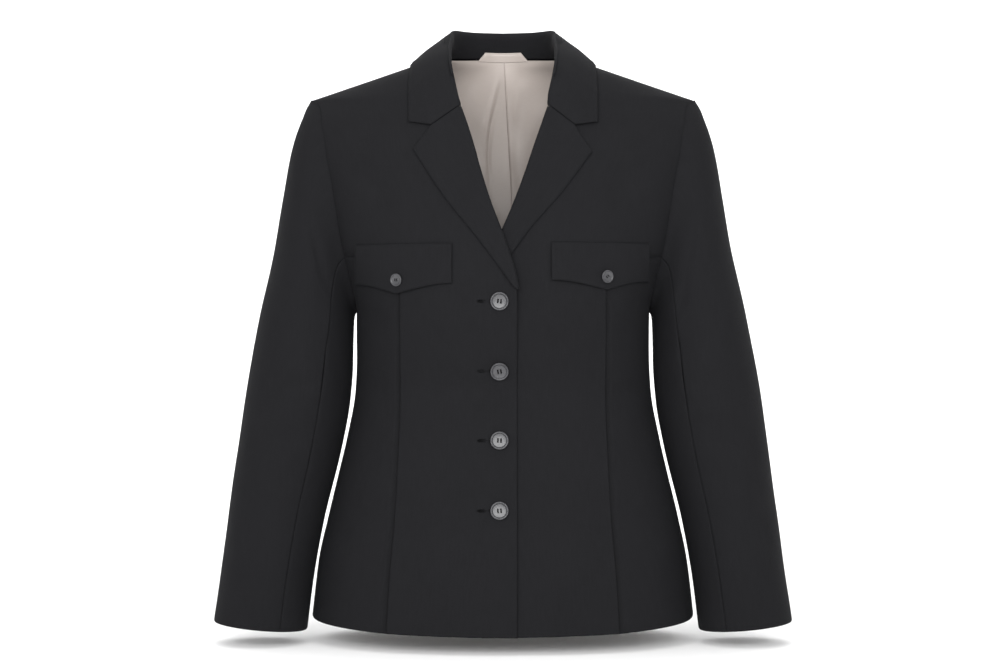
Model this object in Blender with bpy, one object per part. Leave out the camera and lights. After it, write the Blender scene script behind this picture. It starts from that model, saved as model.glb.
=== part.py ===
"""A women's fitted four-button blazer, filled out as when worn, with its hollow open.

Metres, +Z up, front towards -Y. The origin lies at the middle of the neck, level
with the points where the shoulder seams meet the neckline. Right and left are the
wearer's, so the right half lies at -X.
"""

import math

import bmesh
import bpy
import numpy as np

# Cloth and seams
WALL = 0.002            # body cloth with its interlining
LINING_WALL = 0.001
SEAM_GAP = 0.0003       # between neighbouring pieces
LINING_DEPTH = 0.0028   # lining's face below the outer form
ARMHOLE_GAP = 0.0007    # between the body's edge and the sleeve's, which meet at an angle

# Heights on the body
UNDERARM = -0.285
BACK_NECK = 0.006

# Shoulders
NECK_POINT = 0.070      # half width of the neck at the shoulder seam
SHOULDER_TIP = 0.215
SHOULDER_FALL = 0.338   # drop for each unit of width
TIP_Z = -(SHOULDER_TIP - NECK_POINT) * SHOULDER_FALL

# Armhole, an oval seen from the side
ARMHOLE_Z = (TIP_Z + UNDERARM) / 2
ARMHOLE_HEIGHT = (TIP_Z - UNDERARM) / 2
ARMHOLE_FRONT = 0.054
ARMHOLE_BACK = 0.058
ARMHOLE_STEP = math.radians(15)     # between two rows of the body, and two columns of the sleeve
YOKE_ROWS = 8                       # from the shoulder to the seam hidden under the pocket flaps
BUST_ROWS = 4                       # from there to the underarm
FLAP_LINE = ARMHOLE_Z + ARMHOLE_HEIGHT * math.cos(YOKE_ROWS * ARMHOLE_STEP)

# Rings of the worn form: a rounded oval at each height, squarer as its roundness grows
# z, half width, front depth, back depth, roundness
RINGS = np.array([
    (0.050, 0.0540, 0.036, 0.068, 2.00),
    (0.020, 0.0630, 0.042, 0.073, 2.00),
    (0.000, 0.0700, 0.050, 0.079, 1.90),
    (TIP_Z, SHOULDER_TIP, 0.078, 0.092, 1.50),
    (-0.078, 0.2290, 0.090, 0.098, 1.70),
    (-0.107, 0.2240, 0.100, 0.102, 1.90),
    (-0.140, 0.2110, 0.110, 0.105, 2.10),
    (-0.173, 0.2005, 0.117, 0.106, 2.20),
    (-0.215, 0.1870, 0.123, 0.104, 2.25),
    (-0.255, 0.1715, 0.127, 0.102, 2.25),
    (UNDERARM, 0.1635, 0.126, 0.100, 2.25),
    (-0.330, 0.1630, 0.117, 0.094, 2.25),
    (-0.372, 0.1650, 0.108, 0.090, 2.25),
    (-0.428, 0.1750, 0.111, 0.097, 2.25),
    (-0.462, 0.1830, 0.115, 0.103, 2.25),
    (-0.514, 0.1955, 0.121, 0.112, 2.25),
    (-0.561, 0.2055, 0.127, 0.119, 2.25),
    (-0.640, 0.2145, 0.134, 0.126, 2.25),
])

# Inner edge of each front: the neckline, the lapel's roll, then the front edge.
# The x is positive on the front's own side and negative past the middle.
# z, right front, left front
FRONT_EDGE = np.array([
    (0.000, 0.0700, 0.0700),
    (-0.030, 0.0625, 0.0630),
    (-0.067, 0.0470, 0.0500),
    (-0.100, 0.0358, 0.0385),
    (-0.140, 0.0246, 0.0250),
    (-0.173, 0.0138, 0.0122),
    (-0.204, 0.0020, -0.0015),
    (-0.228, -0.0062, -0.0115),
    (-0.250, -0.0124, -0.0185),
    (-0.266, -0.0150, -0.0220),
    (-0.290, -0.0155, -0.0225),
    (-0.640, -0.0155, -0.0225),
])

# Princess seam, from the flap's point to the hem
PRINCESS = np.array([
    (0.000, 0.130), (-0.100, 0.118), (FLAP_LINE, 0.1110), (-0.372, 0.1110), (-0.450, 0.1135),
    (-0.510, 0.1165), (-0.570, 0.1215), (-0.640, 0.1255),
])
CHANNEL_DEPTH = 0.0013  # the side front's sunk edge beside the princess seam
CHANNEL_WIDTH = 0.008

# How far the left front drops where it passes under the right one
UNDERLAP = np.array([(0.0, 0.0), (-0.130, 0.0), (-0.200, 0.0060), (-0.275, 0.0060), (-0.320, 0.0028),
                     (-0.640, 0.0028)])
UNDERLAP_EDGE = 0.020   # full drop up to here, none 30 mm further out
UNDERLAP_FADE = 0.030

# Hem height against the way round a half: 0 middle front, 1 princess seam, 2 side seam, 3 middle back
HEM = np.array([(0.0, -0.6320), (1.0, -0.6300), (2.0, -0.6225), (3.0, -0.6300)])

# Collar sections on one half, from the middle of the back to the front. The outer edge
# lies on the back where its side is 1 and on the front where it is -1.
# fold x, y and z, outer x and z, 1 where the outer edge lies on the back
COLLAR = np.array([
    (0.0000, 0.0740, 0.0360, 0.0000, -0.0100, 1),
    (0.0300, 0.0670, 0.0358, 0.0400, -0.0100, 1),
    (0.0530, 0.0440, 0.0350, 0.0780, -0.0115, 1),
    (0.0605, 0.0180, 0.0290, 0.0975, -0.0125, 1),
    (0.0605, -0.0140, 0.0150, 0.1020, -0.0160, -1),
    (0.0585, -0.0420, 0.0000, 0.1030, -0.0330, -1),
    (0.0555, -0.0640, -0.0200, 0.1030, -0.0550, -1),
    (0.0490, -0.0815, -0.0500, 0.1028, -0.0760, -1),
])
COLLAR_WALL = 0.0016
COLLAR_LIFT = 0.0034    # the fall's outer face above the body
GORGE_ROLL = (0.0466, -0.0655)
NOTCH = (0.0770, -0.0855)
COLLAR_CORNER = (0.1026, -0.0810)
NOTCH_SHARE = 0.6       # of the fall's width, where the gorge seam ends

# Outer edge of each lapel from its tip to the break of the roll
LAPEL_EDGE = {
    -1: np.array([(0.0970, -0.1110), (0.0619, -0.1642), (0.0293, -0.2053), (0.0074, -0.2343),
                  (-0.0080, -0.2560)]),
    1: np.array([(0.0957, -0.1140), (0.0619, -0.1599), (0.0293, -0.1968), (0.0074, -0.2263),
                 (-0.0110, -0.2480)]),
}
LAPEL_BREAK = {-1: -0.2620, 1: -0.2540}
LAPEL_WALL = 0.0018
LAPEL_LIFT = 0.0026     # its outer face above the front, at the outer edge
ROLL_LIFT = 0.0022      # more where it rolls over
ROLL_REACH = 0.014

# Pocket flaps, worn side: inner end, outer end, point
FLAP = {
    -1: {"inner": 0.054, "outer": 0.160, "point": 0.1130, "top": -0.2130, "corner": -0.2560,
         "tip": -0.2665, "button_z": -0.2515},
    1: {"inner": 0.051, "outer": 0.158, "point": 0.1105, "top": -0.2115, "corner": -0.2525,
        "tip": -0.2625, "button_z": -0.2480},
}
FLAP_WALL = 0.0018
FLAP_LIFT = 0.0024

# Buttons
BUTTON_X = -0.0037
BUTTON_TOP = -0.275
BUTTON_PITCH = 0.0744
BUTTON_RADIUS = 0.0111
BUTTON_LIFTS = (0.0006, 0.0010, 0.0009, 0.0006)     # more where the front hollows at the waist
FLAP_BUTTON_RADIUS = 0.0068

# Sleeve rings, from the cap to the cuff
# outer x and z, inner x and z, middle y, half depth
SLEEVE = np.array([
    (0.2245, -0.0690, 0.1658, -0.2890, 0.0020, 0.0590),
    (0.2366, -0.1056, 0.1668, -0.2960, 0.0015, 0.0625),
    (0.2460, -0.1600, 0.1672, -0.3060, 0.0000, 0.0650),
    (0.2549, -0.2143, 0.1674, -0.3200, -0.0020, 0.0660),
    (0.2710, -0.2876, 0.1676, -0.3440, -0.0050, 0.0655),
    (0.2860, -0.3717, 0.1705, -0.3850, -0.0090, 0.0630),
    (0.2938, -0.4275, 0.1790, -0.4340, -0.0130, 0.0600),
    (0.3043, -0.5115, 0.1990, -0.5180, -0.0200, 0.0550),
    (0.3120, -0.5700, 0.2095, -0.5780, -0.0250, 0.0525),
    (0.3195, -0.6260, 0.2165, -0.6360, -0.0300, 0.0510),
])
UPPER_COLUMNS = 16      # of the 24 columns round a sleeve


def smooth(table, column, at):
    """Cubic through a table's rows, whose first column runs down."""
    keys, values = table[::-1, 0], table[::-1, column]
    at = min(max(at, keys[0]), keys[-1])
    k = min(max(int(np.searchsorted(keys, at)) - 1, 0), len(keys) - 2)
    slopes = np.diff(values) / np.diff(keys)
    before = slopes[max(k - 1, 0)]
    after = slopes[min(k + 1, len(slopes) - 1)]
    tangents = []
    for one, two in ((before, slopes[k]), (slopes[k], after)):
        tangents.append(0.0 if one * two <= 0 else 2 * one * two / (one + two))
    width = keys[k + 1] - keys[k]
    s = (at - keys[k]) / width
    return (values[k] * (1 - s) ** 2 * (1 + 2 * s) + values[k + 1] * s ** 2 * (3 - 2 * s)
            + width * tangents[0] * s * (1 - s) ** 2 - width * tangents[1] * s ** 2 * (1 - s))


def half_width(z):
    """The ring's half width. Above the shoulder tip it follows the straight shoulder seam."""
    if TIP_Z <= z <= 0:
        return NECK_POINT - z / SHOULDER_FALL
    return smooth(RINGS, 1, z)


def depth(z, back):
    return smooth(RINGS, 3 if back else 2, z)


def roundness(z):
    return smooth(RINGS, 4, z)


def swell(x, y, z):
    """Below 0 inside the worn form, above 0 outside it."""
    power = roundness(z)
    return abs(x / half_width(z)) ** power + abs(y / depth(z, y > 0)) ** power - 1


def slope(x, y, z):
    """Gradient of swell."""
    step = 1e-5
    return np.array([
        swell(x + step, y, z) - swell(x - step, y, z),
        swell(x, y + step, z) - swell(x, y - step, z),
        swell(x, y, z + step) - swell(x, y, z - step),
    ]) / (2 * step)


def outward(point):
    way = slope(*point)
    return way / np.linalg.norm(way)


def on_form(x, z, back=False, lift=0.0):
    """The point of the front or the back at this place of the front view, moved out by lift."""
    power = roundness(z)
    inside = max(0.0, 1 - abs(x / half_width(z)) ** power)
    y = depth(z, back) * inside ** (1 / power) * (1 if back else -1)
    point = np.array([x, y, z])
    return point + outward(point) * lift


def seat(point, lift):
    """The nearest place on the form, moved out by lift."""
    point = np.array(point, float)
    for _ in range(12):
        way = slope(*point)
        point -= way * swell(*point) / way.dot(way)
    return point + outward(point) * lift


def around(z, x):
    """The turn on the ring, 0 in the middle, of a place x of the front view."""
    share = min(1.0, abs(x) / half_width(z)) ** (roundness(z) / 2)
    return math.copysign(math.asin(share), x)


def across(z, turn):
    """The x of a turn on the ring."""
    return math.copysign(half_width(z) * abs(math.sin(turn)) ** (2 / roundness(z)), turn)


def front_edge(z, side):
    return smooth(FRONT_EDGE, 1 if side < 0 else 2, z)


def armhole_x(z, back):
    """Half width of the body at the armhole seam."""
    reach = ARMHOLE_BACK if back else ARMHOLE_FRONT
    share = max(0.0, 1 - ((z - ARMHOLE_Z) / ARMHOLE_HEIGHT) ** 2)
    y = reach * math.sqrt(share)
    return half_width(z) * (1 - (y / depth(z, back)) ** roundness(z)) ** (1 / roundness(z))


def shoulder_top(x):
    """Height of the shoulder seam, or of the back neckline inside the neck point."""
    if x < NECK_POINT:
        return BACK_NECK * (1 - (x / NECK_POINT) ** 2)
    return -(x - NECK_POINT) * SHOULDER_FALL


# Rows and columns of the body panels
SKIRT_ROWS = 12
CENTRE_COLUMNS = 6
SIDE_COLUMNS = 5
BACK_COLUMNS = 10


def lower_row(way, side, back, z):
    """x on a row at or below the flap line. The way runs 0 to 2 on a front, 0 to 1 on a back."""
    side_turn = math.pi / 2
    if z > UNDERARM:
        side_turn = around(z, armhole_x(z, back))
    if back:
        return across(z, way * side_turn)
    seam = around(z, smooth(PRINCESS, 1, z))
    if way <= 1:
        edge = around(z, front_edge(z, side))
        return across(z, edge + (seam - edge) * way)
    return across(z, seam + (side_turn - seam) * (way - 1))


def yoke_place(way, row, side, back):
    """(x, z) above the flap line, blended between its four edges."""
    last = 1 if back else 2
    share = way / last
    eased = (1 - math.cos(row * ARMHOLE_STEP)) / (1 - math.cos(YOKE_ROWS * ARMHOLE_STEP))

    def inner(at):
        z = (BACK_NECK if back else 0.0) * (1 - at) + FLAP_LINE * at
        return np.array([0.0 if back else front_edge(z, side), z])

    def outer(at):
        z = TIP_Z * (1 - at) + FLAP_LINE * at
        return np.array([armhole_x(z, back), z])

    def top(at):
        x = (0.0 if back else NECK_POINT) * (1 - at) + SHOULDER_TIP * at
        return np.array([x, shoulder_top(x)])

    def bottom(at):
        return np.array([lower_row(at * last, side, back, FLAP_LINE), FLAP_LINE])

    corners = ((1 - share) * (1 - eased) * top(0) + share * (1 - eased) * top(1)
               + (1 - share) * eased * bottom(0) + share * eased * bottom(1))
    return ((1 - share) * inner(eased) + share * outer(eased)
            + (1 - eased) * top(share) + eased * bottom(share) - corners)


def hem_height(way, back):
    round_body = 3 - way if back else way
    return float(np.interp(round_body, HEM[:, 0], HEM[:, 1]))


def body_place(way, row, side, back):
    """(x, z) of a body panel's point. Rows count from the shoulder to the hem."""
    if row < YOKE_ROWS:
        return yoke_place(way, row, side, back)
    if row <= YOKE_ROWS + BUST_ROWS:
        z = ARMHOLE_Z + ARMHOLE_HEIGHT * math.cos(row * ARMHOLE_STEP)
    else:
        share = (row - YOKE_ROWS - BUST_ROWS) / SKIRT_ROWS
        z = UNDERARM + (hem_height(way, back) - UNDERARM) * share
    return np.array([lower_row(way, side, back, z), z])


def front_drop(x, z, side):
    """How far the left front lies under the form near the closure."""
    if side < 0:
        return 0.0
    fade = min(1.0, max(0.0, (UNDERLAP_EDGE + UNDERLAP_FADE - x) / UNDERLAP_FADE))
    return smooth(UNDERLAP, 1, z) * fade ** 2 * (3 - 2 * fade)


def body_point(way, row, side, back, lift=0.0):
    x, z = body_place(way, row, side, back)
    if not back:
        lift -= front_drop(x, z, side)
    point = on_form(x, z, back, lift)
    point[0] *= side
    return point


def on_front(x, z, side, lift):
    """A point on a front, whose x is positive on its own side, moved out by lift."""
    point = on_form(x, z, False, lift - front_drop(x, z, side))
    point[0] *= side
    return point


def pull_in(points, rows=(0.0, 0.0), columns=(0.0, 0.0)):
    """Moves a grid's border points in along the grid, to leave the seams open."""
    points = points.copy()
    for axis, (first, last) in ((0, rows), (1, columns)):
        lines = points if axis == 0 else points.transpose(1, 0, 2)
        for border, inside, amount in ((0, 1, first), (-1, -2, last)):
            way = lines[inside] - lines[border]
            length = np.linalg.norm(way, axis=1, keepdims=True)
            lines[border] += way / np.maximum(length, 1e-9) * amount
    return points


def make_material(name, colour, roughness, metallic=0.0):
    material = bpy.data.materials.new(name)
    material.use_nodes = True
    shader = material.node_tree.nodes["Principled BSDF"]
    shader.inputs["Base Color"].default_value = (*colour, 1.0)
    shader.inputs["Roughness"].default_value = roughness
    shader.inputs["Metallic"].default_value = metallic
    return material


def add_object(name, mesh, material, collection):
    mesh.materials.append(material)
    mesh.shade_smooth()
    piece = bpy.data.objects.new(name, mesh)
    collection.objects.link(piece)
    return piece


def add_sheet(name, points, normals, wall, material, collection, dropped=None):
    """A cloth sheet through a grid of points, extruded inwards against its normals."""
    rows, columns = points.shape[:2]
    inner = points - normals * wall
    sheet = bmesh.new()
    bmesh.ops.create_grid(sheet, x_segments=columns - 1, y_segments=rows - 1, size=1)
    place = sheet.verts.layers.int.new("place")
    for vertex in sheet.verts:
        column = round((vertex.co.x + 1) / 2 * (columns - 1))
        row = round((1 - vertex.co.y) / 2 * (rows - 1))
        vertex[place] = row * columns + column
    if dropped:
        spare = []
        for face in sheet.faces:
            corners = [divmod(vertex[place], columns) for vertex in face.verts]
            if dropped(min(row for row, _ in corners), min(column for _, column in corners)):
                spare.append(face)
        bmesh.ops.delete(sheet, geom=spare, context="FACES")
    for vertex in sheet.verts:
        vertex.co = points[divmod(vertex[place], columns)]
    grown = bmesh.ops.extrude_face_region(sheet, geom=sheet.faces[:])["geom"]
    for vertex in grown:
        if isinstance(vertex, bmesh.types.BMVert):
            vertex.co = inner[divmod(vertex[place], columns)]
    bmesh.ops.triangulate(sheet, faces=sheet.faces, quad_method="SHORT_EDGE")
    bmesh.ops.recalc_face_normals(sheet, faces=sheet.faces)
    mesh = bpy.data.meshes.new(name)
    sheet.to_mesh(mesh)
    sheet.free()
    return add_object(name, mesh, material, collection)


def form_normals(points):
    return np.array([[outward(point) for point in line] for line in points])


def grid_normals(points, away_from):
    """Normals of a grid's own surface, turned away from the points given beside it."""
    along = np.gradient(points, axis=0)
    across_rows = np.gradient(points, axis=1)
    normals = np.cross(along, across_rows)
    normals /= np.linalg.norm(normals, axis=2, keepdims=True)
    facing = np.sum(normals * (points - away_from))
    return normals if facing > 0 else -normals


def side_name(side):
    return "right" if side < 0 else "left"


def add_front(side, cloth, collection):
    """Chest and centre front in one piece. Its lower outer corner is left to the side front."""
    ways = [k / CENTRE_COLUMNS for k in range(CENTRE_COLUMNS + 1)]
    ways += [1 + (k + 1) / SIDE_COLUMNS for k in range(SIDE_COLUMNS)]
    rows = YOKE_ROWS + BUST_ROWS + SKIRT_ROWS
    points = np.array([[body_point(way, row, side, False) for way in ways] for row in range(rows + 1)])
    points = pull_in(points, rows=(SEAM_GAP / 2, 0), columns=(0, SEAM_GAP / 2))
    add_sheet(f"front_{side_name(side)}", points, form_normals(points), WALL, cloth, collection,
              lambda row, column: row >= YOKE_ROWS and column >= CENTRE_COLUMNS)


def add_side_front(side, cloth, collection):
    """From the princess seam to the side seam, its front edge sunk beside the centre front."""
    channel = [0.0, 0.05, 0.13, 0.2]
    ways = [1 + share for share in channel]
    ways += [1.2 + 0.8 * (k + 1) / (SIDE_COLUMNS - 1) for k in range(SIDE_COLUMNS - 1)]
    rows = range(YOKE_ROWS, YOKE_ROWS + BUST_ROWS + SKIRT_ROWS + 1)
    grid = []
    for row in rows:
        seam_x = body_place(1, row, side, False)[0]
        line = []
        for way in ways:
            x = body_place(way, row, side, False)[0]
            sink = max(0.0, 1 - (x - seam_x) / CHANNEL_WIDTH)
            line.append(body_point(way, row, side, False, -CHANNEL_DEPTH * sink))
        grid.append(line)
    points = pull_in(np.array(grid), rows=(SEAM_GAP, 0), columns=(SEAM_GAP, SEAM_GAP / 2))
    add_sheet(f"side_front_{side_name(side)}", points, form_normals(points), WALL, cloth, collection)


def back_grid(side, lift=0.0):
    rows = YOKE_ROWS + BUST_ROWS + SKIRT_ROWS
    ways = [k / BACK_COLUMNS for k in range(BACK_COLUMNS + 1)]
    return np.array([[body_point(way, row, side, True, lift) for way in ways] for row in range(rows + 1)])


def add_back(side, cloth, collection):
    points = pull_in(back_grid(side), rows=(SEAM_GAP / 2, 0), columns=(SEAM_GAP / 2, SEAM_GAP / 2))
    add_sheet(f"back_{side_name(side)}", points, form_normals(points), WALL, cloth, collection)


def add_back_lining(satin, collection):
    """Hangs inside both backs, from the neck to just above the hem."""
    left = back_grid(1, -LINING_DEPTH)
    right = back_grid(-1, -LINING_DEPTH)
    points = np.concatenate([right[:, :0:-1], left], axis=1)
    points = pull_in(points, rows=(0.004, 0.012), columns=(0.003, 0.003))
    add_sheet("back_lining", points, form_normals(points), LINING_WALL, satin, collection)


def armhole_point(theta, side):
    """A point of the armhole seam. Theta is 0 at the shoulder tip and grows towards the front."""
    z = ARMHOLE_Z + ARMHOLE_HEIGHT * math.cos(theta)
    back = math.sin(theta) < 0
    y = -(ARMHOLE_BACK if back else ARMHOLE_FRONT) * math.sin(theta)
    return np.array([(armhole_x(z, back) + ARMHOLE_GAP) * side, y, z])


def sleeve_point(theta, ring, side):
    outer_x, outer_z, inner_x, inner_z, middle_y, half_depth = SLEEVE[ring]
    swing = (1 + math.cos(theta)) / 2
    x = inner_x + (outer_x - inner_x) * swing
    z = inner_z + (outer_z - inner_z) * swing
    return np.array([x * side, middle_y - half_depth * math.sin(theta), z])


def add_sleeve(side, cloth, collection):
    """Both pieces of a sleeve: one tube from the armhole to the cuff, parted along two seams."""
    columns = round(2 * math.pi / ARMHOLE_STEP)
    turns = [ARMHOLE_STEP * k for k in range(-1, columns + 2)]
    grid = [[armhole_point(turn, side) for turn in turns]]
    for ring in range(len(SLEEVE)):
        grid.append([sleeve_point(turn, ring, side) for turn in turns])
    tube = np.array(grid)
    normals = grid_normals(tube, tube[:, 1:-2].mean(axis=1, keepdims=True))
    for column, turn in enumerate(turns):
        top = ((1 + math.cos(turn)) / 2) ** 0.5
        blend = outward(tube[0, column]) * top + normals[0, column] * (1 - top)
        normals[0, column] = blend / np.linalg.norm(blend)
    tube, normals = tube[:, 1:-1], normals[:, 1:-1]
    half = UPPER_COLUMNS // 2
    picks = {"upper": np.arange(-half, half + 1) % columns,
             "under": np.arange(half, columns - half + 1)}
    for part_name, pick in picks.items():
        points = pull_in(tube[:, pick], columns=(SEAM_GAP, SEAM_GAP))
        add_sheet(f"{part_name}_sleeve_{side_name(side)}", points, normals[:, pick], WALL, cloth,
                  collection)


COLLAR_ROWS = 16        # along one half
FALL_COLUMNS = 6
FALL_BULGE = 0.0045
STAND_COLUMNS = 3
FOLD_REACH = 0.0026     # how far the fall reaches inwards over the stand's top
STAND_DROP = 0.0032     # the stand's top below the fold
STAND_INSIDE = 0.0022   # and inside it
STAND_SEAM_LIFT = 0.0020


def collar_section(place, side):
    """Fold and outer edge at a place, 0 in the middle of the back and 1 at the front."""
    outer = [on_form(x, z, where > 0, COLLAR_LIFT) for x, z, where in COLLAR[:, 3:]]
    stations = np.linspace(1, 0, len(COLLAR))
    table = np.column_stack([stations, COLLAR[::-1, :3], np.array(outer)[::-1]])
    values = np.array([smooth(table, column + 1, place) for column in range(6)])
    values[[0, 3]] *= side
    return values[:3], seat(values[3:], COLLAR_LIFT)


def fall_row(place, side):
    """The fall over the shoulder at one station, from inside the fold to its outer edge."""
    fold, outer = collar_section(place, side)
    level = np.array([fold[0], fold[1], 0.0]) / np.hypot(fold[0], fold[1])
    row = [fold - level * FOLD_REACH - np.array([0, 0, 0.0005])]
    for k in range(FALL_COLUMNS):
        share = k / (FALL_COLUMNS - 1)
        puff = (level + np.array([0, 0, 0.5])) * FALL_BULGE * 4 * share * (1 - share) ** 1.5
        point = fold * (1 - share) + outer * share + puff
        if k and swell(*point) / np.linalg.norm(slope(*point)) < COLLAR_LIFT:
            point = seat(point, COLLAR_LIFT)
        row.append(point)
    return row


def gorge_row(side):
    """The fall's front end: along the gorge seam to the notch, then to its corner."""
    row = []
    for k in range(FALL_COLUMNS + 1):
        share = max(0.0, (k - 1) / (FALL_COLUMNS - 1))
        x = np.interp(share, [0, NOTCH_SHARE, 1], [GORGE_ROLL[0], NOTCH[0], COLLAR_CORNER[0]])
        z = np.interp(share, [0, NOTCH_SHARE, 1], [GORGE_ROLL[1], NOTCH[1], COLLAR_CORNER[1]])
        inside = FOLD_REACH if k == 0 else 0.0
        lift = COLLAR_LIFT + (0.0014 * (1 - share) ** 2 if k else 0.0)
        point = on_form(x - inside, z + inside * 0.4, False, lift)
        point[0] *= side
        row.append(point)
    return row


def stand_row(place, side):
    """The stand at one station, from the neck seam up to the fold."""
    fold, _ = collar_section(place, side)
    level = np.array([fold[0], fold[1], 0.0]) / np.hypot(fold[0], fold[1])
    top = fold - level * STAND_INSIDE - np.array([0, 0, STAND_DROP])
    turn = math.pi * (1 - place * 0.7)
    if turn > math.pi / 2:
        x = NECK_POINT * math.sin(turn) ** (2 / roundness(0))
        foot = on_form(x, shoulder_top(x) + STAND_SEAM_LIFT, True)
    else:
        z = -0.060 * (1 - turn / (math.pi / 2)) / (1 - 0.3 / 0.5)
        foot = on_form(front_edge(z, side) - 0.0006, z + STAND_SEAM_LIFT, False)
    foot[0] *= side
    return [foot * (1 - k / STAND_COLUMNS) + top * k / STAND_COLUMNS for k in range(STAND_COLUMNS + 1)]


def add_collar(cloth, collection):
    places = [k / COLLAR_ROWS for k in range(COLLAR_ROWS + 1)]
    fall, stand = [], []
    for side in (-1, 1):
        half_fall = [fall_row(place, side) for place in places] + [gorge_row(side)]
        half_stand = [stand_row(place, side) for place in places[:-2]]
        fall += half_fall[:0:-1] if side < 0 else half_fall
        stand += half_stand[:0:-1] if side < 0 else half_stand
    fall = pull_in(np.array(fall), rows=(SEAM_GAP, SEAM_GAP))
    stand = np.array(stand)
    axis = np.array([0.0, -0.005, -0.02])
    add_sheet("collar_fall", fall, grid_normals(fall, axis), COLLAR_WALL, cloth, collection)
    add_sheet("collar_stand", stand, grid_normals(stand, axis), COLLAR_WALL, cloth, collection)


LAPEL_ROWS = 13
LAPEL_COLUMNS = 4
LAPEL_FLAT_FROM = -0.165
LAPEL_FLAT_FADE = 0.030
UNDER_CLEARANCE = 0.0004
GORGE_GAP = 0.0012
# Outer and inner face beside the front's edge, and height as a share of the roll's.
HOOK_OUTER = ((-0.0024, -0.12), (-0.0021, 0.62))
HOOK_INNER = ((-0.0006, -0.12), (-0.0005, 0.80))


def lapel_lift(distance, z, side):
    """Outer face above the front: more at the roll, but flat where the left one runs under the right."""
    flat = 0.0
    if side > 0:
        flat = min(1.0, max(0.0, (LAPEL_FLAT_FROM - z) / LAPEL_FLAT_FADE))
    return LAPEL_LIFT + UNDER_CLEARANCE * flat + ROLL_LIFT * (1 - flat) * math.exp(-((distance / ROLL_REACH) ** 2))


def add_lapel(side, cloth, collection):
    """The facing turned out over the front, hooked round the front's edge at the roll."""
    edge = LAPEL_EDGE[side]
    lengths = np.concatenate([[0], np.cumsum(np.linalg.norm(np.diff(edge, axis=0), axis=1))])
    start = GORGE_ROLL[1] - 0.001 - GORGE_GAP
    grid, hooks = [], []
    for row in range(LAPEL_ROWS + 1):
        share = row / LAPEL_ROWS
        z = start + (LAPEL_BREAK[side] - start) * share
        roll = np.array([front_edge(z, side), z])
        along = share * lengths[-1]
        outer = np.array([np.interp(along, lengths, edge[:, axis]) for axis in (0, 1)])
        width = np.linalg.norm(outer - roll)
        top = lapel_lift(0.0, z, side)
        line = [on_front(roll[0] + beside, z, side, top * rise) for beside, rise in HOOK_OUTER]
        hooks.append([
            on_front(roll[0] + beside, z, side, (top - LAPEL_WALL) * rise) for beside, rise in HOOK_INNER
        ])
        for k in range(LAPEL_COLUMNS + 1):
            share_out = k / LAPEL_COLUMNS
            place = roll * (1 - share_out) + outer * share_out
            if row == 0:
                stops = np.array([roll, (NOTCH[0], NOTCH[1] - GORGE_GAP), outer])
                place = [np.interp(share_out, [0, NOTCH_SHARE, 1], stops[:, axis]) for axis in (0, 1)]
            line.append(on_front(place[0], place[1], side, lapel_lift(width * share_out, place[1], side)))
        grid.append(line)
    points, inner = np.array(grid)[::-1], np.array(hooks)[::-1]
    normals = form_normals(points)
    normals[:, :len(HOOK_OUTER)] = (points[:, :len(HOOK_OUTER)] - inner) / LAPEL_WALL
    add_sheet(f"lapel_{side_name(side)}", points, normals, LAPEL_WALL, cloth, collection)


FLAP_COLUMNS = 12
FLAP_ROWS = 4


def flap_bottom(x, flap):
    """Lower edge: an ogee from each corner to the point."""
    end = flap["inner"] if x < flap["point"] else flap["outer"]
    share = (x - end) / (flap["point"] - end)
    rise = share ** 2 * (3 - 2 * share) * 0.35 + 0.65 * share ** 2.2
    return flap["corner"] + (flap["tip"] - flap["corner"]) * rise


def add_flap(side, cloth, collection):
    flap = FLAP[side]
    half = FLAP_COLUMNS // 2
    xs = [flap["inner"] + (flap["point"] - flap["inner"]) * k / half for k in range(half)]
    xs += [flap["point"] + (flap["outer"] - flap["point"]) * k / half for k in range(half + 1)]
    grid = []
    for row in range(FLAP_ROWS + 1):
        down = row / FLAP_ROWS
        line = []
        for x in xs:
            z = flap["top"] + (flap_bottom(x, flap) - flap["top"]) * down
            line.append(on_front(x, z, side, FLAP_LIFT + 0.0012 * down))
        grid.append(line)
    points = np.array(grid)
    add_sheet(f"flap_{side_name(side)}", points, form_normals(points), FLAP_WALL, cloth, collection)


def add_button(name, place, facing, radius, steps, plastic, collection):
    """A turned disc with a raised rim and a dished middle, its face along facing."""
    height = radius * 0.30
    profile = [
        (0.0, height * 0.62), (radius * 0.45, height * 0.62), (radius * 0.68, height * 0.72),
        (radius * 0.76, height * 0.98), (radius * 0.90, height), (radius, height * 0.66),
        (radius * 0.93, height * 0.20), (radius * 0.60, 0.0), (0.0, 0.0),
    ]
    turned = bmesh.new()
    line = [turned.verts.new((x, 0.0, z)) for x, z in profile]
    edges = [turned.edges.new(pair) for pair in zip(line, line[1:])]
    bmesh.ops.spin(turned, geom=line + edges, cent=(0, 0, 0), axis=(0, 0, 1), angle=2 * math.pi,
                   steps=steps, use_merge=True)
    bmesh.ops.remove_doubles(turned, verts=turned.verts, dist=1e-6)
    bmesh.ops.recalc_face_normals(turned, faces=turned.faces)
    mesh = bpy.data.meshes.new(name)
    turned.to_mesh(mesh)
    turned.free()
    piece = add_object(name, mesh, plastic, collection)
    direction = np.array(facing) / np.linalg.norm(facing)
    pitch = math.atan2(math.hypot(direction[0], direction[1]), direction[2])
    heading = math.atan2(direction[1], direction[0])
    piece.location = place
    piece.rotation_euler = (0.0, pitch, heading)


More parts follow.
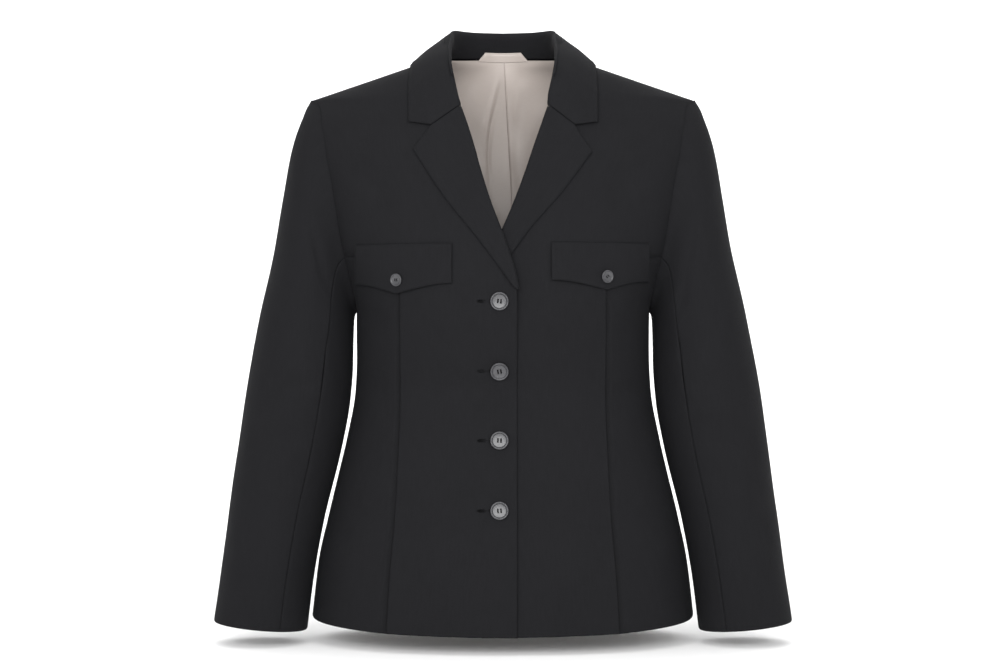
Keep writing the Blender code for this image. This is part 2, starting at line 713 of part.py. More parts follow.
def add_buttons(plastic, collection):
    for k, lift in enumerate(BUTTON_LIFTS):
        z = BUTTON_TOP - BUTTON_PITCH * k
        foot = on_form(BUTTON_X, z, False, lift)
        add_button(f"front_button_{k + 1}", foot, outward(on_form(BUTTON_X, z)), BUTTON_RADIUS, 20,
                   plastic, collection)
    for side in (-1, 1):
        flap = FLAP[side]
        x = flap["point"] - 0.001
        skin = on_front(x, flap["button_z"], side, FLAP_LIFT + 0.0018)
        facing = outward(on_front(x, flap["button_z"], side, 0.0))
        add_button(f"flap_button_{side_name(side)}", skin, facing, FLAP_BUTTON_RADIUS, 14,
                   plastic, collection)


PATCH_FOOT = 0.0068
PATCH_HEIGHT = 0.0082
PATCH_HALF_TOP = 0.0215
PATCH_HALF_FOOT = 0.0305
PATCH_DEPTH = 0.0029    # its face behind the neck's outline, inside the stand


def add_neck_patch(satin, collection):
    """A small patch that covers the hanger loop's ends, inside the stand above the neck seam."""
    grid = []
    for row in range(3):
        up = 1 - row / 2
        half = PATCH_HALF_FOOT + (PATCH_HALF_TOP - PATCH_HALF_FOOT) * up
        z = PATCH_FOOT + PATCH_HEIGHT * up
        grid.append([on_form(half * k / 4, z, True, -PATCH_DEPTH) for k in range(-4, 5)])
    points = np.array(grid)
    add_sheet("neck_patch", points, form_normals(points), LINING_WALL, satin, collection)


def main():
    for old in list(bpy.data.objects):
        bpy.data.objects.remove(old, do_unlink=True)
    collection = bpy.data.collections.new("blazer")
    bpy.context.scene.collection.children.link(collection)
    cloth = make_material("charcoal_wool", (0.017, 0.017, 0.019), 0.85)
    satin = make_material("beige_satin", (0.38, 0.34, 0.31), 0.42)
    plastic = make_material("grey_button", (0.14, 0.14, 0.15), 0.35)
    for side in (-1, 1):
        add_front(side, cloth, collection)
        add_side_front(side, cloth, collection)
        add_back(side, cloth, collection)
        add_sleeve(side, cloth, collection)
        add_lapel(side, cloth, collection)
        add_flap(side, cloth, collection)
    add_collar(cloth, collection)
    add_back_lining(satin, collection)
    add_neck_patch(satin, collection)
    add_buttons(plastic, collection)


main()
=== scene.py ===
import math

import bmesh
import bpy
import numpy as np
from mathutils import Matrix, Vector


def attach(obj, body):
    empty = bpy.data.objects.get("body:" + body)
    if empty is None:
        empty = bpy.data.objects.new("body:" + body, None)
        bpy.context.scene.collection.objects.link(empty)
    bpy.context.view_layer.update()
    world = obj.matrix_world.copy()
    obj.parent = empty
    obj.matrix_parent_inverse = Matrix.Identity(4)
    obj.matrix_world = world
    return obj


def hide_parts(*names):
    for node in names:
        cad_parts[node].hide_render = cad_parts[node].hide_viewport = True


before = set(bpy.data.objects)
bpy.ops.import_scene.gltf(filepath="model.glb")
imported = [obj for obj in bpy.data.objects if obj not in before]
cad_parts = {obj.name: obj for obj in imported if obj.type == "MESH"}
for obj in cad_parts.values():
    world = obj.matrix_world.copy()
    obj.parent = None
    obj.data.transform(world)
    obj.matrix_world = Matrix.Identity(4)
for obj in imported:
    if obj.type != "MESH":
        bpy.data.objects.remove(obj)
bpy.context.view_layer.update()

print("frame loaded:", len(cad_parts), "solids")

# Metres, +Z up, the blazer's front towards -Y. Right and left are the wearer's, so
# the right half lies at -X. The worn form is a stack of rounded rings.

cloth = {
    "wall": 0.0019,        # wool with its interlining
    "liningWall": 0.0008,
    "seamLap": 0.00008,    # how far neighbours run into each other in a seam
    "armholeLap": 0.0009,
    "calmReach": 0.018,    # folds fade out this near a seam
    "edgeReach": 0.0024,   # how far from a seam the cloth starts to turn in
    "edgeDip": 0.0008,
}

body = {
    "neckPoint": 0.070,
    "shoulderTip": 0.215,
    "shoulderFall": 0.338,
    "backNeck": 0.006,
    "underarm": -0.285,
    "armholeFront": 0.054,
    "armholeBack": 0.058,
    "flapAngle": math.radians(120),
    # z, half width, front depth, back depth, roundness
    "rings": [
        (0.050, 0.0540, 0.036, 0.068, 2.00), (0.020, 0.0630, 0.042, 0.073, 2.00),
        (0.000, 0.0700, 0.050, 0.079, 1.90), (-0.04901, 0.2150, 0.078, 0.092, 1.50),
        (-0.078, 0.2290, 0.090, 0.098, 1.70), (-0.107, 0.2240, 0.100, 0.102, 1.90),
        (-0.140, 0.2110, 0.110, 0.105, 2.10), (-0.173, 0.2005, 0.117, 0.106, 2.20),
        (-0.215, 0.1870, 0.123, 0.104, 2.25), (-0.255, 0.1715, 0.127, 0.102, 2.25),
        (-0.285, 0.1635, 0.126, 0.100, 2.25), (-0.330, 0.1630, 0.117, 0.094, 2.25),
        (-0.372, 0.1650, 0.108, 0.090, 2.25), (-0.428, 0.1750, 0.111, 0.097, 2.25),
        (-0.462, 0.1830, 0.115, 0.103, 2.25), (-0.514, 0.1955, 0.121, 0.112, 2.25),
        (-0.561, 0.2055, 0.127, 0.119, 2.25), (-0.640, 0.2145, 0.134, 0.126, 2.25),
    ],
    # z, right front's inner edge, left front's inner edge
    "frontEdge": [
        (0.000, 0.0700, 0.0700), (-0.030, 0.0625, 0.0630), (-0.067, 0.0470, 0.0500),
        (-0.100, 0.0358, 0.0385), (-0.140, 0.0246, 0.0250), (-0.173, 0.0138, 0.0122),
        (-0.204, 0.0020, -0.0015), (-0.228, -0.0062, -0.0115), (-0.250, -0.0124, -0.0185),
        (-0.266, -0.0150, -0.0220), (-0.290, -0.0155, -0.0225), (-0.640, -0.0155, -0.0225),
    ],
    "princess": [
        (0.000, 0.130), (-0.100, 0.118), (-0.226, 0.1110), (-0.372, 0.1110),
        (-0.450, 0.1135), (-0.510, 0.1165), (-0.570, 0.1215), (-0.640, 0.1255),
    ],
    "underlap": [
        (0.0, 0.0), (-0.130, 0.0), (-0.200, 0.0060), (-0.275, 0.0060), (-0.320, 0.0028), (-0.640, 0.0028),
    ],
    "underlapEdge": 0.020,
    "underlapFade": 0.030,
    # way round a half, height: 0 middle front, 1 princess seam, 2 side seam, 3 middle back
    "hem": [(0.0, -0.6320), (1.0, -0.6300), (2.0, -0.6225), (3.0, -0.6300)],
}
tipZ = -(body["shoulderTip"] - body["neckPoint"]) * body["shoulderFall"]
armholeZ = (tipZ + body["underarm"]) / 2
armholeHeight = (tipZ - body["underarm"]) / 2
flapLine = armholeZ + armholeHeight * math.cos(body["flapAngle"])


def throughRows(keys, values):
    # a cubic through the rows that never overshoots them
    keys, values = np.array(keys, float), np.array(values, float)
    order = np.argsort(keys)
    keys, values = keys[order], values[order]
    extra = (1,) * (values.ndim - 1)
    slopes = np.diff(values, axis=0) / np.diff(keys).reshape(-1, *extra)
    padded = np.concatenate([slopes[:1], slopes, slopes[-1:]])
    one, two = padded[:-1], padded[1:]
    product = one * two
    total = np.where(product > 0, one + two, 1.0)
    tangents = np.where(product > 0, 2 * product / total, 0.0)

    def at(key):
        key = np.clip(np.asarray(key, float), keys[0], keys[-1])
        k = np.clip(np.searchsorted(keys, key) - 1, 0, len(keys) - 2)
        width = (keys[k + 1] - keys[k]).reshape(key.shape + extra)
        s = (key - keys[k]).reshape(key.shape + extra) / width
        return (values[k] * (1 - s) ** 2 * (1 + 2 * s) + values[k + 1] * s ** 2 * (3 - 2 * s)
                + width * tangents[k] * s * (1 - s) ** 2 - width * tangents[k + 1] * s ** 2 * (1 - s))
    return at


def column(rows, k):
    return throughRows([row[0] for row in rows], [row[k] for row in rows])


ringWidth, ringFront, ringBack, ringPower = (column(body["rings"], k) for k in (1, 2, 3, 4))
frontEdges = {-1: column(body["frontEdge"], 1), 1: column(body["frontEdge"], 2)}
princessAt = column(body["princess"], 1)
underlapAt = column(body["underlap"], 1)


def halfWidth(z):
    z = np.asarray(z, float)
    seam = body["neckPoint"] - z / body["shoulderFall"]
    return np.where((z <= 0) & (z >= tipZ), seam, ringWidth(z))


def depthAt(z, back):
    return np.where(back, ringBack(z), ringFront(z))


def swell(p):
    # below 0 inside the form, above 0 outside
    x, y, z = p[..., 0], p[..., 1], p[..., 2]
    power = ringPower(z)
    return np.abs(x / halfWidth(z)) ** power + np.abs(y / depthAt(z, y > 0)) ** power - 1


def slopeOf(p):
    step = 1e-5
    out = np.empty(p.shape)
    for axis in range(3):
        move = np.zeros(3)
        move[axis] = step
        out[..., axis] = (swell(p + move) - swell(p - move)) / (2 * step)
    return out


def unit(v):
    return v / np.maximum(np.linalg.norm(v, axis=-1, keepdims=True), 1e-12)


def outward(p):
    return unit(slopeOf(p))


def onForm(x, z, back=False, lift=0.0):
    x, z = np.broadcast_arrays(np.asarray(x, float), np.asarray(z, float))
    power = ringPower(z)
    inside = np.maximum(0.0, 1 - np.abs(x / halfWidth(z)) ** power)
    y = depthAt(z, back) * inside ** (1 / power) * (1 if back else -1)
    p = np.stack([x, y, z], axis=-1)
    return p + outward(p) * np.asarray(lift)[..., None]


def seat(p, lift):
    # the nearest place on the form, moved out
    p = np.array(p, float)
    for _ in range(12):
        way = slopeOf(p)
        p -= way * (swell(p) / np.sum(way * way, axis=-1))[..., None]
    return p + outward(p) * lift


def turnOf(z, x):
    share = np.minimum(1.0, np.abs(x) / halfWidth(z)) ** (ringPower(z) / 2)
    return np.copysign(np.arcsin(share), x)


def xOfTurn(z, turn):
    return np.copysign(halfWidth(z) * np.abs(np.sin(turn)) ** (2 / ringPower(z)), turn)


def armholeX(z, back):
    reach = body["armholeBack"] if back else body["armholeFront"]
    share = np.maximum(0.0, 1 - ((z - armholeZ) / armholeHeight) ** 2)
    power = ringPower(z)
    return halfWidth(z) * (1 - (reach * np.sqrt(share) / depthAt(z, back)) ** power) ** (1 / power)


def shoulderTop(x):
    neck = body["backNeck"] * (1 - (x / body["neckPoint"]) ** 2)
    return np.where(x < body["neckPoint"], neck, -(x - body["neckPoint"]) * body["shoulderFall"])


def lowerRow(way, side, back, z):
    sideTurn = np.where(z > body["underarm"], turnOf(z, armholeX(z, back)), math.pi / 2)
    if back:
        return xOfTurn(z, way * sideTurn)
    seam = turnOf(z, princessAt(z))
    edge = turnOf(z, frontEdges[side](z))
    turn = np.where(way <= 1, edge + (seam - edge) * way, seam + (sideTurn - seam) * (way - 1))
    return xOfTurn(z, turn)


def yokePlace(way, eased, side, back):
    # blended between the inner edge, the armhole, the shoulder and the flap line
    last = 1 if back else 2
    share = way / last

    def inner(at):
        z = (body["backNeck"] if back else 0.0) * (1 - at) + flapLine * at
        return np.stack([z * 0.0 if back else frontEdges[side](z), z], axis=-1)

    def outer(at):
        z = tipZ * (1 - at) + flapLine * at
        return np.stack([armholeX(z, back), z], axis=-1)

    def top(at):
        x = (0.0 if back else body["neckPoint"]) * (1 - at) + body["shoulderTip"] * at
        return np.stack([x, shoulderTop(x)], axis=-1)

    def bottom(at):
        z = np.full(at.shape, flapLine)
        return np.stack([lowerRow(at * last, side, back, z), z], axis=-1)

    zero, one = np.zeros(share.shape), np.ones(share.shape)
    s, e = share[..., None], eased[..., None]
    corners = (1 - s) * (1 - e) * top(zero) + s * (1 - e) * top(one)
    corners = corners + (1 - s) * e * bottom(zero) + s * e * bottom(one)
    return (1 - s) * inner(eased) + s * outer(eased) + (1 - e) * top(share) + e * bottom(share) - corners


def bodyPlaces(ways, angles, skirt, side, back):
    # rows: armhole angles from the shoulder to the underarm, then shares of the skirt
    angles, skirt = np.array(angles), np.array(skirt)
    flapCos = 1 - math.cos(body["flapAngle"])
    upper = angles[angles < body["flapAngle"] - 1e-6]
    bust = angles[angles >= body["flapAngle"] - 1e-6]
    wayGrid = np.array(ways)[None, :]
    eased = ((1 - np.cos(upper)) / flapCos)[:, None]
    yoke = yokePlace(*np.broadcast_arrays(wayGrid, eased), side, back)
    hemWay = 3 - wayGrid if back else wayGrid
    hem = np.interp(hemWay, [row[0] for row in body["hem"]], [row[1] for row in body["hem"]])
    bustZ = (armholeZ + armholeHeight * np.cos(bust))[:, None] + 0 * wayGrid
    skirtZ = body["underarm"] + (hem - body["underarm"]) * skirt[:, None]
    z = np.concatenate([bustZ, skirtZ])
    x = lowerRow(wayGrid + 0 * z, side, back, z)
    return np.concatenate([yoke, np.stack([x, z], axis=-1)])


def frontDrop(x, z, side):
    if side < 0:
        return np.zeros(np.shape(x))
    fade = np.clip((body["underlapEdge"] + body["underlapFade"] - x) / body["underlapFade"], 0, 1)
    return underlapAt(z) * fade ** 2 * (3 - 2 * fade)


def onFront(x, z, side, lift):
    p = onForm(x, z, False, np.asarray(lift) - frontDrop(x, z, side))
    p[..., 0] *= side
    return p


def folds(across, along, rows):
    # each row: from across, from along, to across, to along, width, height; negative is a trough
    lift = np.zeros(np.shape(across))
    for fromA, fromB, toA, toB, width, height in rows:
        way = np.array([toA - fromA, toB - fromB])
        length = np.linalg.norm(way)
        way = way / length
        run = (across - fromA) * way[0] + (along - fromB) * way[1]
        off = (across - fromA) * way[1] - (along - fromB) * way[0]
        bend = 0.12 * length * np.sin(math.pi * np.clip(run / length, 0, 1))
        ends = np.clip(run / (0.3 * length), 0, 1) * np.clip((length - run) / (0.3 * length), 0, 1)
        lift += height * np.exp(-((off - bend) / width) ** 2) * ends ** 2 * (3 - 2 * ends)
    return lift


def softness(across, along, size, height, shift):
    # slow unevenness of steamed cloth, the same at each run
    lift = np.zeros(np.shape(across))
    for k, (a, b) in enumerate([(1.0, 0.6), (-0.7, 1.3), (1.7, -0.9), (0.4, 2.1)]):
        lift += np.sin((a * across + b * along) / size + shift * (k + 1.3)) / (k + 1.5)
    return lift * height


def arcLengths(points, axis):
    steps = np.linalg.norm(np.diff(points, axis=axis), axis=2)
    start = np.zeros_like(np.take(steps, [0], axis=axis))
    return np.cumsum(np.concatenate([start, steps], axis=axis), axis=axis)


def borderDistances(points):
    # left, right, top and bottom, in metres along the cloth
    across, down = arcLengths(points, 1), arcLengths(points, 0)
    return across, across[:, -1:] - across, down, down[-1:, :] - down


def dipAt(distance, reach=None, depth=None):
    reach = reach or cloth["edgeReach"]
    depth = cloth["edgeDip"] if depth is None else depth
    return -depth * np.clip(1 - distance / reach, 0, 1) ** 2


def deepest(*dips):
    return np.minimum.reduce(np.broadcast_arrays(*dips))


def gridNormals(points, like):
    normals = unit(np.cross(np.gradient(points, axis=0), np.gradient(points, axis=1)))
    return normals if np.sum(normals * like) > 0 else -normals


def clothSheet(name, points, normals, wall, material, seam=None, dropped=None):
    # a grid laid through the points, with UVs in metres, extruded to its thickness; the seam values are stored
    # as a vertex attribute that the cloth shaders use as a painted-shade mask
    rows, columns = points.shape[:2]
    across, down = arcLengths(points, 1), arcLengths(points, 0)
    middle = across[:, columns // 2][:, None]
    uv = np.stack([across - middle, -down], axis=-1)
    inner = points - normals * wall
    sheet = bmesh.new()
    bmesh.ops.create_grid(sheet, x_segments=columns - 1, y_segments=rows - 1, size=1, calc_uvs=True)
    uvLayer = sheet.loops.layers.uv.active or sheet.loops.layers.uv.new("UVMap")
    place = sheet.verts.layers.int.new("place")
    seamShadeLayer = sheet.verts.layers.float.new("seam")
    for vertex in sheet.verts:
        k = round((vertex.co.x + 1) / 2 * (columns - 1))
        row = round((1 - vertex.co.y) / 2 * (rows - 1))
        vertex[place] = row * columns + k
    if dropped:
        spare = []
        for face in sheet.faces:
            corners = [divmod(vertex[place], columns) for vertex in face.verts]
            if dropped(min(row for row, _ in corners), min(k for _, k in corners)):
                spare.append(face)
        bmesh.ops.delete(sheet, geom=spare, context="FACES")
    for vertex in sheet.verts:
        at = divmod(vertex[place], columns)
        vertex.co = points[at]
        vertex[seamShadeLayer] = float(seam[at]) if seam is not None else 0.0
    for face in sheet.faces:
        for loop in face.loops:
            loop[uvLayer].uv = uv[divmod(loop.vert[place], columns)]
    grown = bmesh.ops.extrude_face_region(sheet, geom=sheet.faces[:])["geom"]
    for vertex in grown:
        if isinstance(vertex, bmesh.types.BMVert):
            vertex.co = inner[divmod(vertex[place], columns)]
    bmesh.ops.recalc_face_normals(sheet, faces=sheet.faces)
    area = sum(face.calc_area() for face in sheet.faces) / 2
    sheet.verts.layers.int.remove(place)
    mesh = bpy.data.meshes.new(name)
    sheet.to_mesh(mesh)
    sheet.free()
    piece = addPiece(name, mesh, material)
    piece["clothArea"] = area
    return piece


def addPiece(name, mesh, material):
    mesh.materials.clear()
    mesh.materials.append(material)
    mesh.shade_smooth()
    piece = bpy.data.objects.new(name, mesh)
    bpy.context.scene.collection.objects.link(piece)
    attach(piece, "root")
    return piece


def sideName(side):
    return "right" if side < 0 else "left"


# ---- shader maths


class Wire:
    # a socket in a node tree, so that maths on it adds nodes
    def __init__(self, tree, socket):
        self.tree, self.socket = tree, socket

    def node(self, kind, settings, **inputs):
        made = self.tree.nodes.new(kind)
        for key, value in settings.items():
            if key == "stops":
                stretch = made.color_ramp.elements
                while len(stretch) < len(value):
                    stretch.new(0.5)
                for stop, (at, tone) in zip(stretch, value):
                    stop.position, stop.color = at, tone
            else:
                setattr(made, key, value)
        for key, value in inputs.items():
            plug = made.inputs[int(key[1:])] if key[0] == "i" and key[1:].isdigit() else made.inputs[key]
            if isinstance(value, Wire):
                self.tree.links.new(value.socket, plug)
            else:
                plug.default_value = value
        return made

    def out(self, made, name=0):
        return Wire(self.tree, made.outputs[name])

    def maths(self, operation, *values):
        made = self.node("ShaderNodeMath", {"operation": operation},
                         **{f"i{k}": value for k, value in enumerate(values)})
        return self.out(made)

    def __add__(self, other): return self.maths("ADD", self, other)
    def __radd__(self, other): return self.maths("ADD", other, self)
    def __sub__(self, other): return self.maths("SUBTRACT", self, other)
    def __rsub__(self, other): return self.maths("SUBTRACT", other, self)
    def __mul__(self, other): return self.maths("MULTIPLY", self, other)
    def __rmul__(self, other): return self.maths("MULTIPLY", other, self)
    def __truediv__(self, other): return self.maths("DIVIDE", self, other)
    def __rtruediv__(self, other): return self.maths("DIVIDE", other, self)
    def __pow__(self, other): return self.maths("POWER", self, other)

    def sine(self): return self.maths("SINE", self)
    def clamped(self): return self.maths("MINIMUM", self.maths("MAXIMUM", self, 0.0), 1.0)

    def noise(self, vector, scale, detail=2.0, roughness=0.5):
        made = self.node("ShaderNodeTexNoise", {}, Vector=vector, Scale=scale, Detail=detail,
                         Roughness=roughness)
        return self.out(made, "Fac")

    def stretched(self, vector, scale):
        made = self.node("ShaderNodeMapping", {}, Vector=vector, Scale=scale)
        return self.out(made, "Vector")

    def blend(self, factor, first, second):
        made = self.node("ShaderNodeMix", {"data_type": "RGBA"}, Factor=factor)
        for plug, value in ((6, first), (7, second)):
            if isinstance(value, Wire):
                self.tree.links.new(value.socket, made.inputs[plug])
            else:
                made.inputs[plug].default_value = value
        return Wire(self.tree, made.outputs[2])


def newMaterial(name, constants):
    material = bpy.data.materials.new(name)
    material.use_nodes = True
    tree = material.node_tree
    shader = tree.nodes["Principled BSDF"]
    for key, value in constants.items():
        shader.inputs[key].default_value = value
    return material, tree, shader


def tone(colour, factor=1.0):
    return tuple(channel * factor for channel in colour) + (1.0,)


def finishMaterial(tree, shader, colour, rough, height, distance, strength=1.0):
    tree.links.new(colour.socket, shader.inputs["Base Color"])
    tree.links.new(rough.socket, shader.inputs["Roughness"])
    bump = rough.node("ShaderNodeBump", {}, Strength=strength, Distance=distance, Height=height)
    tree.links.new(bump.outputs["Normal"], shader.inputs["Normal"])


woolLook = {
    "colour": (0.0078, 0.0078, 0.0088),
    "thread": 0.00062,      # pitch of the twill
    "heather": 0.42,        # unevenness of the dyed yarn
    "roughness": 0.86,
    "sheen": 0.012,
    "bump": 0.00010,
}


def makeWool(name, lightness=1.0):
    material, tree, shader = newMaterial(name, {
        "Sheen Weight": woolLook["sheen"], "Sheen Roughness": 0.45,
        "Sheen Tint": (0.55, 0.56, 0.62, 1.0), "Specular IOR Level": 0.09,
    })
    start = Wire(tree, tree.nodes.new("ShaderNodeUVMap").outputs["UV"])
    split = start.node("ShaderNodeSeparateXYZ", {}, Vector=start)
    u, v = start.out(split, "X"), start.out(split, "Y")
    turns = 2 * math.pi / woolLook["thread"]
    wander = start.noise(start, 160.0, 2.0) * 3.0
    twill = (((u + v) * turns) + wander).sine() * 0.5 + 0.5
    yarns = ((u - v * 0.35) * (turns * 0.93)).sine() * 0.5 + 0.5
    weave = twill * 0.65 + yarns * 0.35
    fleck = start.noise(start.stretched(start, (1.0, 0.45, 1.0)), 1150.0, 3.0, 0.65)
    slub = start.noise(start.stretched(start, (1.0, 0.12, 1.0)), 420.0, 2.0)
    cloud = start.noise(start, 14.0, 2.0)
    # painted shade: the seam attribute darkens the wool colour along seams, rims, the armhole and the princess
    # channel, where shade falls in the turned-in cloth
    seam = start.out(start.node("ShaderNodeAttribute", {"attribute_name": "seam"}), "Fac")
    light = 1.0 + (fleck - 0.5) * (2.2 * woolLook["heather"]) + (slub - 0.5) * 0.35
    light = light + (cloud - 0.5) * 0.14 + (weave - 0.5) * 0.22 - seam * 0.22
    mixed = start.blend((light * 0.5).clamped(), tone((0, 0, 0)), tone(woolLook["colour"], 2.0 * lightness))
    rough = (woolLook["roughness"] + (fleck - 0.5) * 0.18).clamped()
    height = weave * 0.6 + fleck * 0.9 + slub * 0.3
    finishMaterial(tree, shader, mixed, rough, height, woolLook["bump"], 0.9)
    return material


satinLook = {
    "colour": (0.405, 0.355, 0.325),
    "rib": 0.00042,
    "roughness": 0.40,
}


def makeSatin():
    material, tree, shader = newMaterial("beigeSatin", {
        "Sheen Weight": 0.15, "Sheen Roughness": 0.35, "Specular IOR Level": 0.45,
        "Anisotropic": 0.35,
    })
    start = Wire(tree, tree.nodes.new("ShaderNodeUVMap").outputs["UV"])
    split = start.node("ShaderNodeSeparateXYZ", {}, Vector=start)
    u, v = start.out(split, "X"), start.out(split, "Y")
    rib = ((v + u * 0.12) * (2 * math.pi / satinLook["rib"])).sine() * 0.5 + 0.5
    float_ = start.noise(start.stretched(start, (0.08, 1.0, 1.0)), 1500.0, 2.0)
    cloud = start.noise(start, 22.0, 3.0)
    # painted shade: the seam attribute darkens the lining colour along its pleat line, under the neck seam and
    # round the patch rim
    seam = start.out(start.node("ShaderNodeAttribute", {"attribute_name": "seam"}), "Fac")
    light = 1.0 + (cloud - 0.5) * 0.12 + (float_ - 0.5) * 0.10 + (rib - 0.5) * 0.03 - seam * 0.25
    mixed = start.blend((light * 0.5).clamped(), tone((0, 0, 0)), tone(satinLook["colour"], 2.0))
    rough = (satinLook["roughness"] + (float_ - 0.5) * 0.16 + (cloud - 0.5) * 0.10).clamped()
    finishMaterial(tree, shader, mixed, rough, rib * 0.4 + float_ * 0.6, 0.00003, 0.6)
    return material


def makeButtonPlastic():
    material, tree, shader = newMaterial("greyButton", {
        "Coat Weight": 0.12, "Coat Roughness": 0.15, "Specular IOR Level": 0.42,
    })
    start = Wire(tree, tree.nodes.new("ShaderNodeTexCoord").outputs["Object"])
    marble = start.noise(start.stretched(start, (1.0, 1.0, 2.2)), 190.0, 5.0, 0.6)
    grain = start.noise(start, 1400.0, 2.0)
    light = 0.86 + (marble - 0.5) * 0.95 + (grain - 0.5) * 0.12
    mixed = start.blend((light * 0.5).clamped(), tone((0.004, 0.004, 0.0045)), tone((0.050, 0.050, 0.054), 2.0))
    rough = (0.30 + (grain - 0.5) * 0.14 + (marble - 0.5) * 0.10).clamped()
    finishMaterial(tree, shader, mixed, rough, grain, 0.00003, 0.5)
    return material


def makeThread():
    material, tree, shader = newMaterial("darkThread", {"Specular IOR Level": 0.08})
    start = Wire(tree, tree.nodes.new("ShaderNodeTexCoord").outputs["Object"])
    ply = start.noise(start.stretched(start, (1.0, 1.0, 1.6)), 2600.0, 2.0)
    light = 0.8 + (ply - 0.5) * 0.9
    mixed = start.blend((light * 0.5).clamped(), tone((0, 0, 0)), tone((0.0030, 0.0030, 0.0034), 2.0))
    finishMaterial(tree, shader, mixed, (0.62 + (ply - 0.5) * 0.3).clamped(), ply, 0.00006)
    return material


def makeFloor():
    material, tree, shader = newMaterial("paleFloor", {"Specular IOR Level": 0.15})
    start = Wire(tree, tree.nodes.new("ShaderNodeTexCoord").outputs["Object"])
    speckle = start.noise(start, 60.0, 2.0)
    mixed = start.blend(speckle, (0.93, 0.93, 0.93, 1.0), (0.96, 0.96, 0.96, 1.0))
    finishMaterial(tree, shader, mixed, 0.8 + (speckle - 0.5) * 0.1, speckle, 0.00005, 0.2)
    return material


wool = makeWool("charcoalWool")
woolInside = makeWool("charcoalWoolStand", 1.15)
satin = makeSatin()
buttonPlastic = makeButtonPlastic()
darkThread = makeThread()
print("materials made")


# ---- stage and camera

stage = {
    "floorZ": -0.651,
    "floorFront": -4.5,
    "floorBack": 2.6,
    "wallTop": 3.2,
    "sweep": 1.0,
    "cameraDistance": 2.4,
    "cameraAt": (0.0011, -0.312),   # x and z
    "framedWidth": 1.129,           # seen at the blazer's middle depth
}


def buildStage():
    # floor and backdrop in one bent sheet
    sweep = bmesh.new()
    corner = sweep.verts.new((-4.0, stage["floorFront"], stage["floorZ"]))
    end = sweep.verts.new((-4.0, stage["floorBack"], stage["floorZ"]))
    line = sweep.edges.new((corner, end))
    turned = bmesh.ops.spin(sweep, geom=[end], cent=(-4.0, stage["floorBack"], stage["floorZ"] + stage["sweep"]),
                            axis=(1, 0, 0), angle=math.pi / 2, steps=24)
    last = [v for v in turned["geom_last"] if isinstance(v, bmesh.types.BMVert)][0]
    up = sweep.verts.new((-4.0, last.co.y, stage["wallTop"]))
    sweep.edges.new((last, up))
    sides = bmesh.ops.extrude_edge_only(sweep, edges=sweep.edges[:])["geom"]
    bmesh.ops.translate(sweep, vec=(8.0, 0, 0), verts=[v for v in sides if isinstance(v, bmesh.types.BMVert)])
    bmesh.ops.recalc_face_normals(sweep, faces=sweep.faces)
    if sum(face.normal.z for face in sweep.faces) < 0:
        bmesh.ops.reverse_faces(sweep, faces=sweep.faces)
    mesh = bpy.data.meshes.new("backdrop")
    sweep.to_mesh(mesh)
    sweep.free()
    mesh.materials.append(makeFloor())
    mesh.shade_smooth()
    backdrop = bpy.data.objects.new("backdrop", mesh)
    bpy.context.scene.collection.objects.link(backdrop)


def addLight(name, place, target, size, power):
    light = bpy.data.lights.new(name, "AREA")
    light.shape = "RECTANGLE"
    light.size, light.size_y = size
    light.energy = power
    lamp = bpy.data.objects.new(name, light)
    lamp.location = place
    lamp.rotation_euler = (Vector(target) - Vector(place)).to_track_quat("-Z", "Y").to_euler()
    bpy.context.scene.collection.objects.link(lamp)


def buildLights():
    middle = (0, 0, -0.32)
    addLight("keyLeft", (-1.3, -3.1, 0.85), middle, (1.6, 1.6), 62)
    addLight("keyRight", (1.3, -3.1, 0.75), middle, (1.6, 1.6), 54)
    addLight("frontSoft", (0.0, -3.4, 0.15), middle, (1.2, 1.2), 40)
    addLight("topSoft", (0, -0.5, 2.4), middle, (2.6, 2.2), 30)
    addLight("backWash", (0, 1.6, 2.3), (0, 3.4, 0.2), (4.5, 1.2), 95)
    world = bpy.data.worlds.new("softRoom")
    bpy.context.scene.world = world
    world.use_nodes = True
    world.node_tree.nodes["Background"].inputs["Color"].default_value = (1, 1, 1, 1)
    world.node_tree.nodes["Background"].inputs["Strength"].default_value = 0.62


def buildCamera():
    data = bpy.data.cameras.new("camera")
    data.sensor_width = 36.0
    data.lens = 36.0 * stage["cameraDistance"] / stage["framedWidth"]
    camera = bpy.data.objects.new("camera", data)
    camera.location = (stage["cameraAt"][0], -stage["cameraDistance"], stage["cameraAt"][1])
    camera.rotation_euler = (math.pi / 2, 0, 0)
    bpy.context.scene.collection.objects.link(camera)
    bpy.context.scene.camera = camera


bpy.context.scene.view_settings.view_transform = "Standard"
buildStage()
buildLights()
buildCamera()
print("stage built")


# ---- body panels

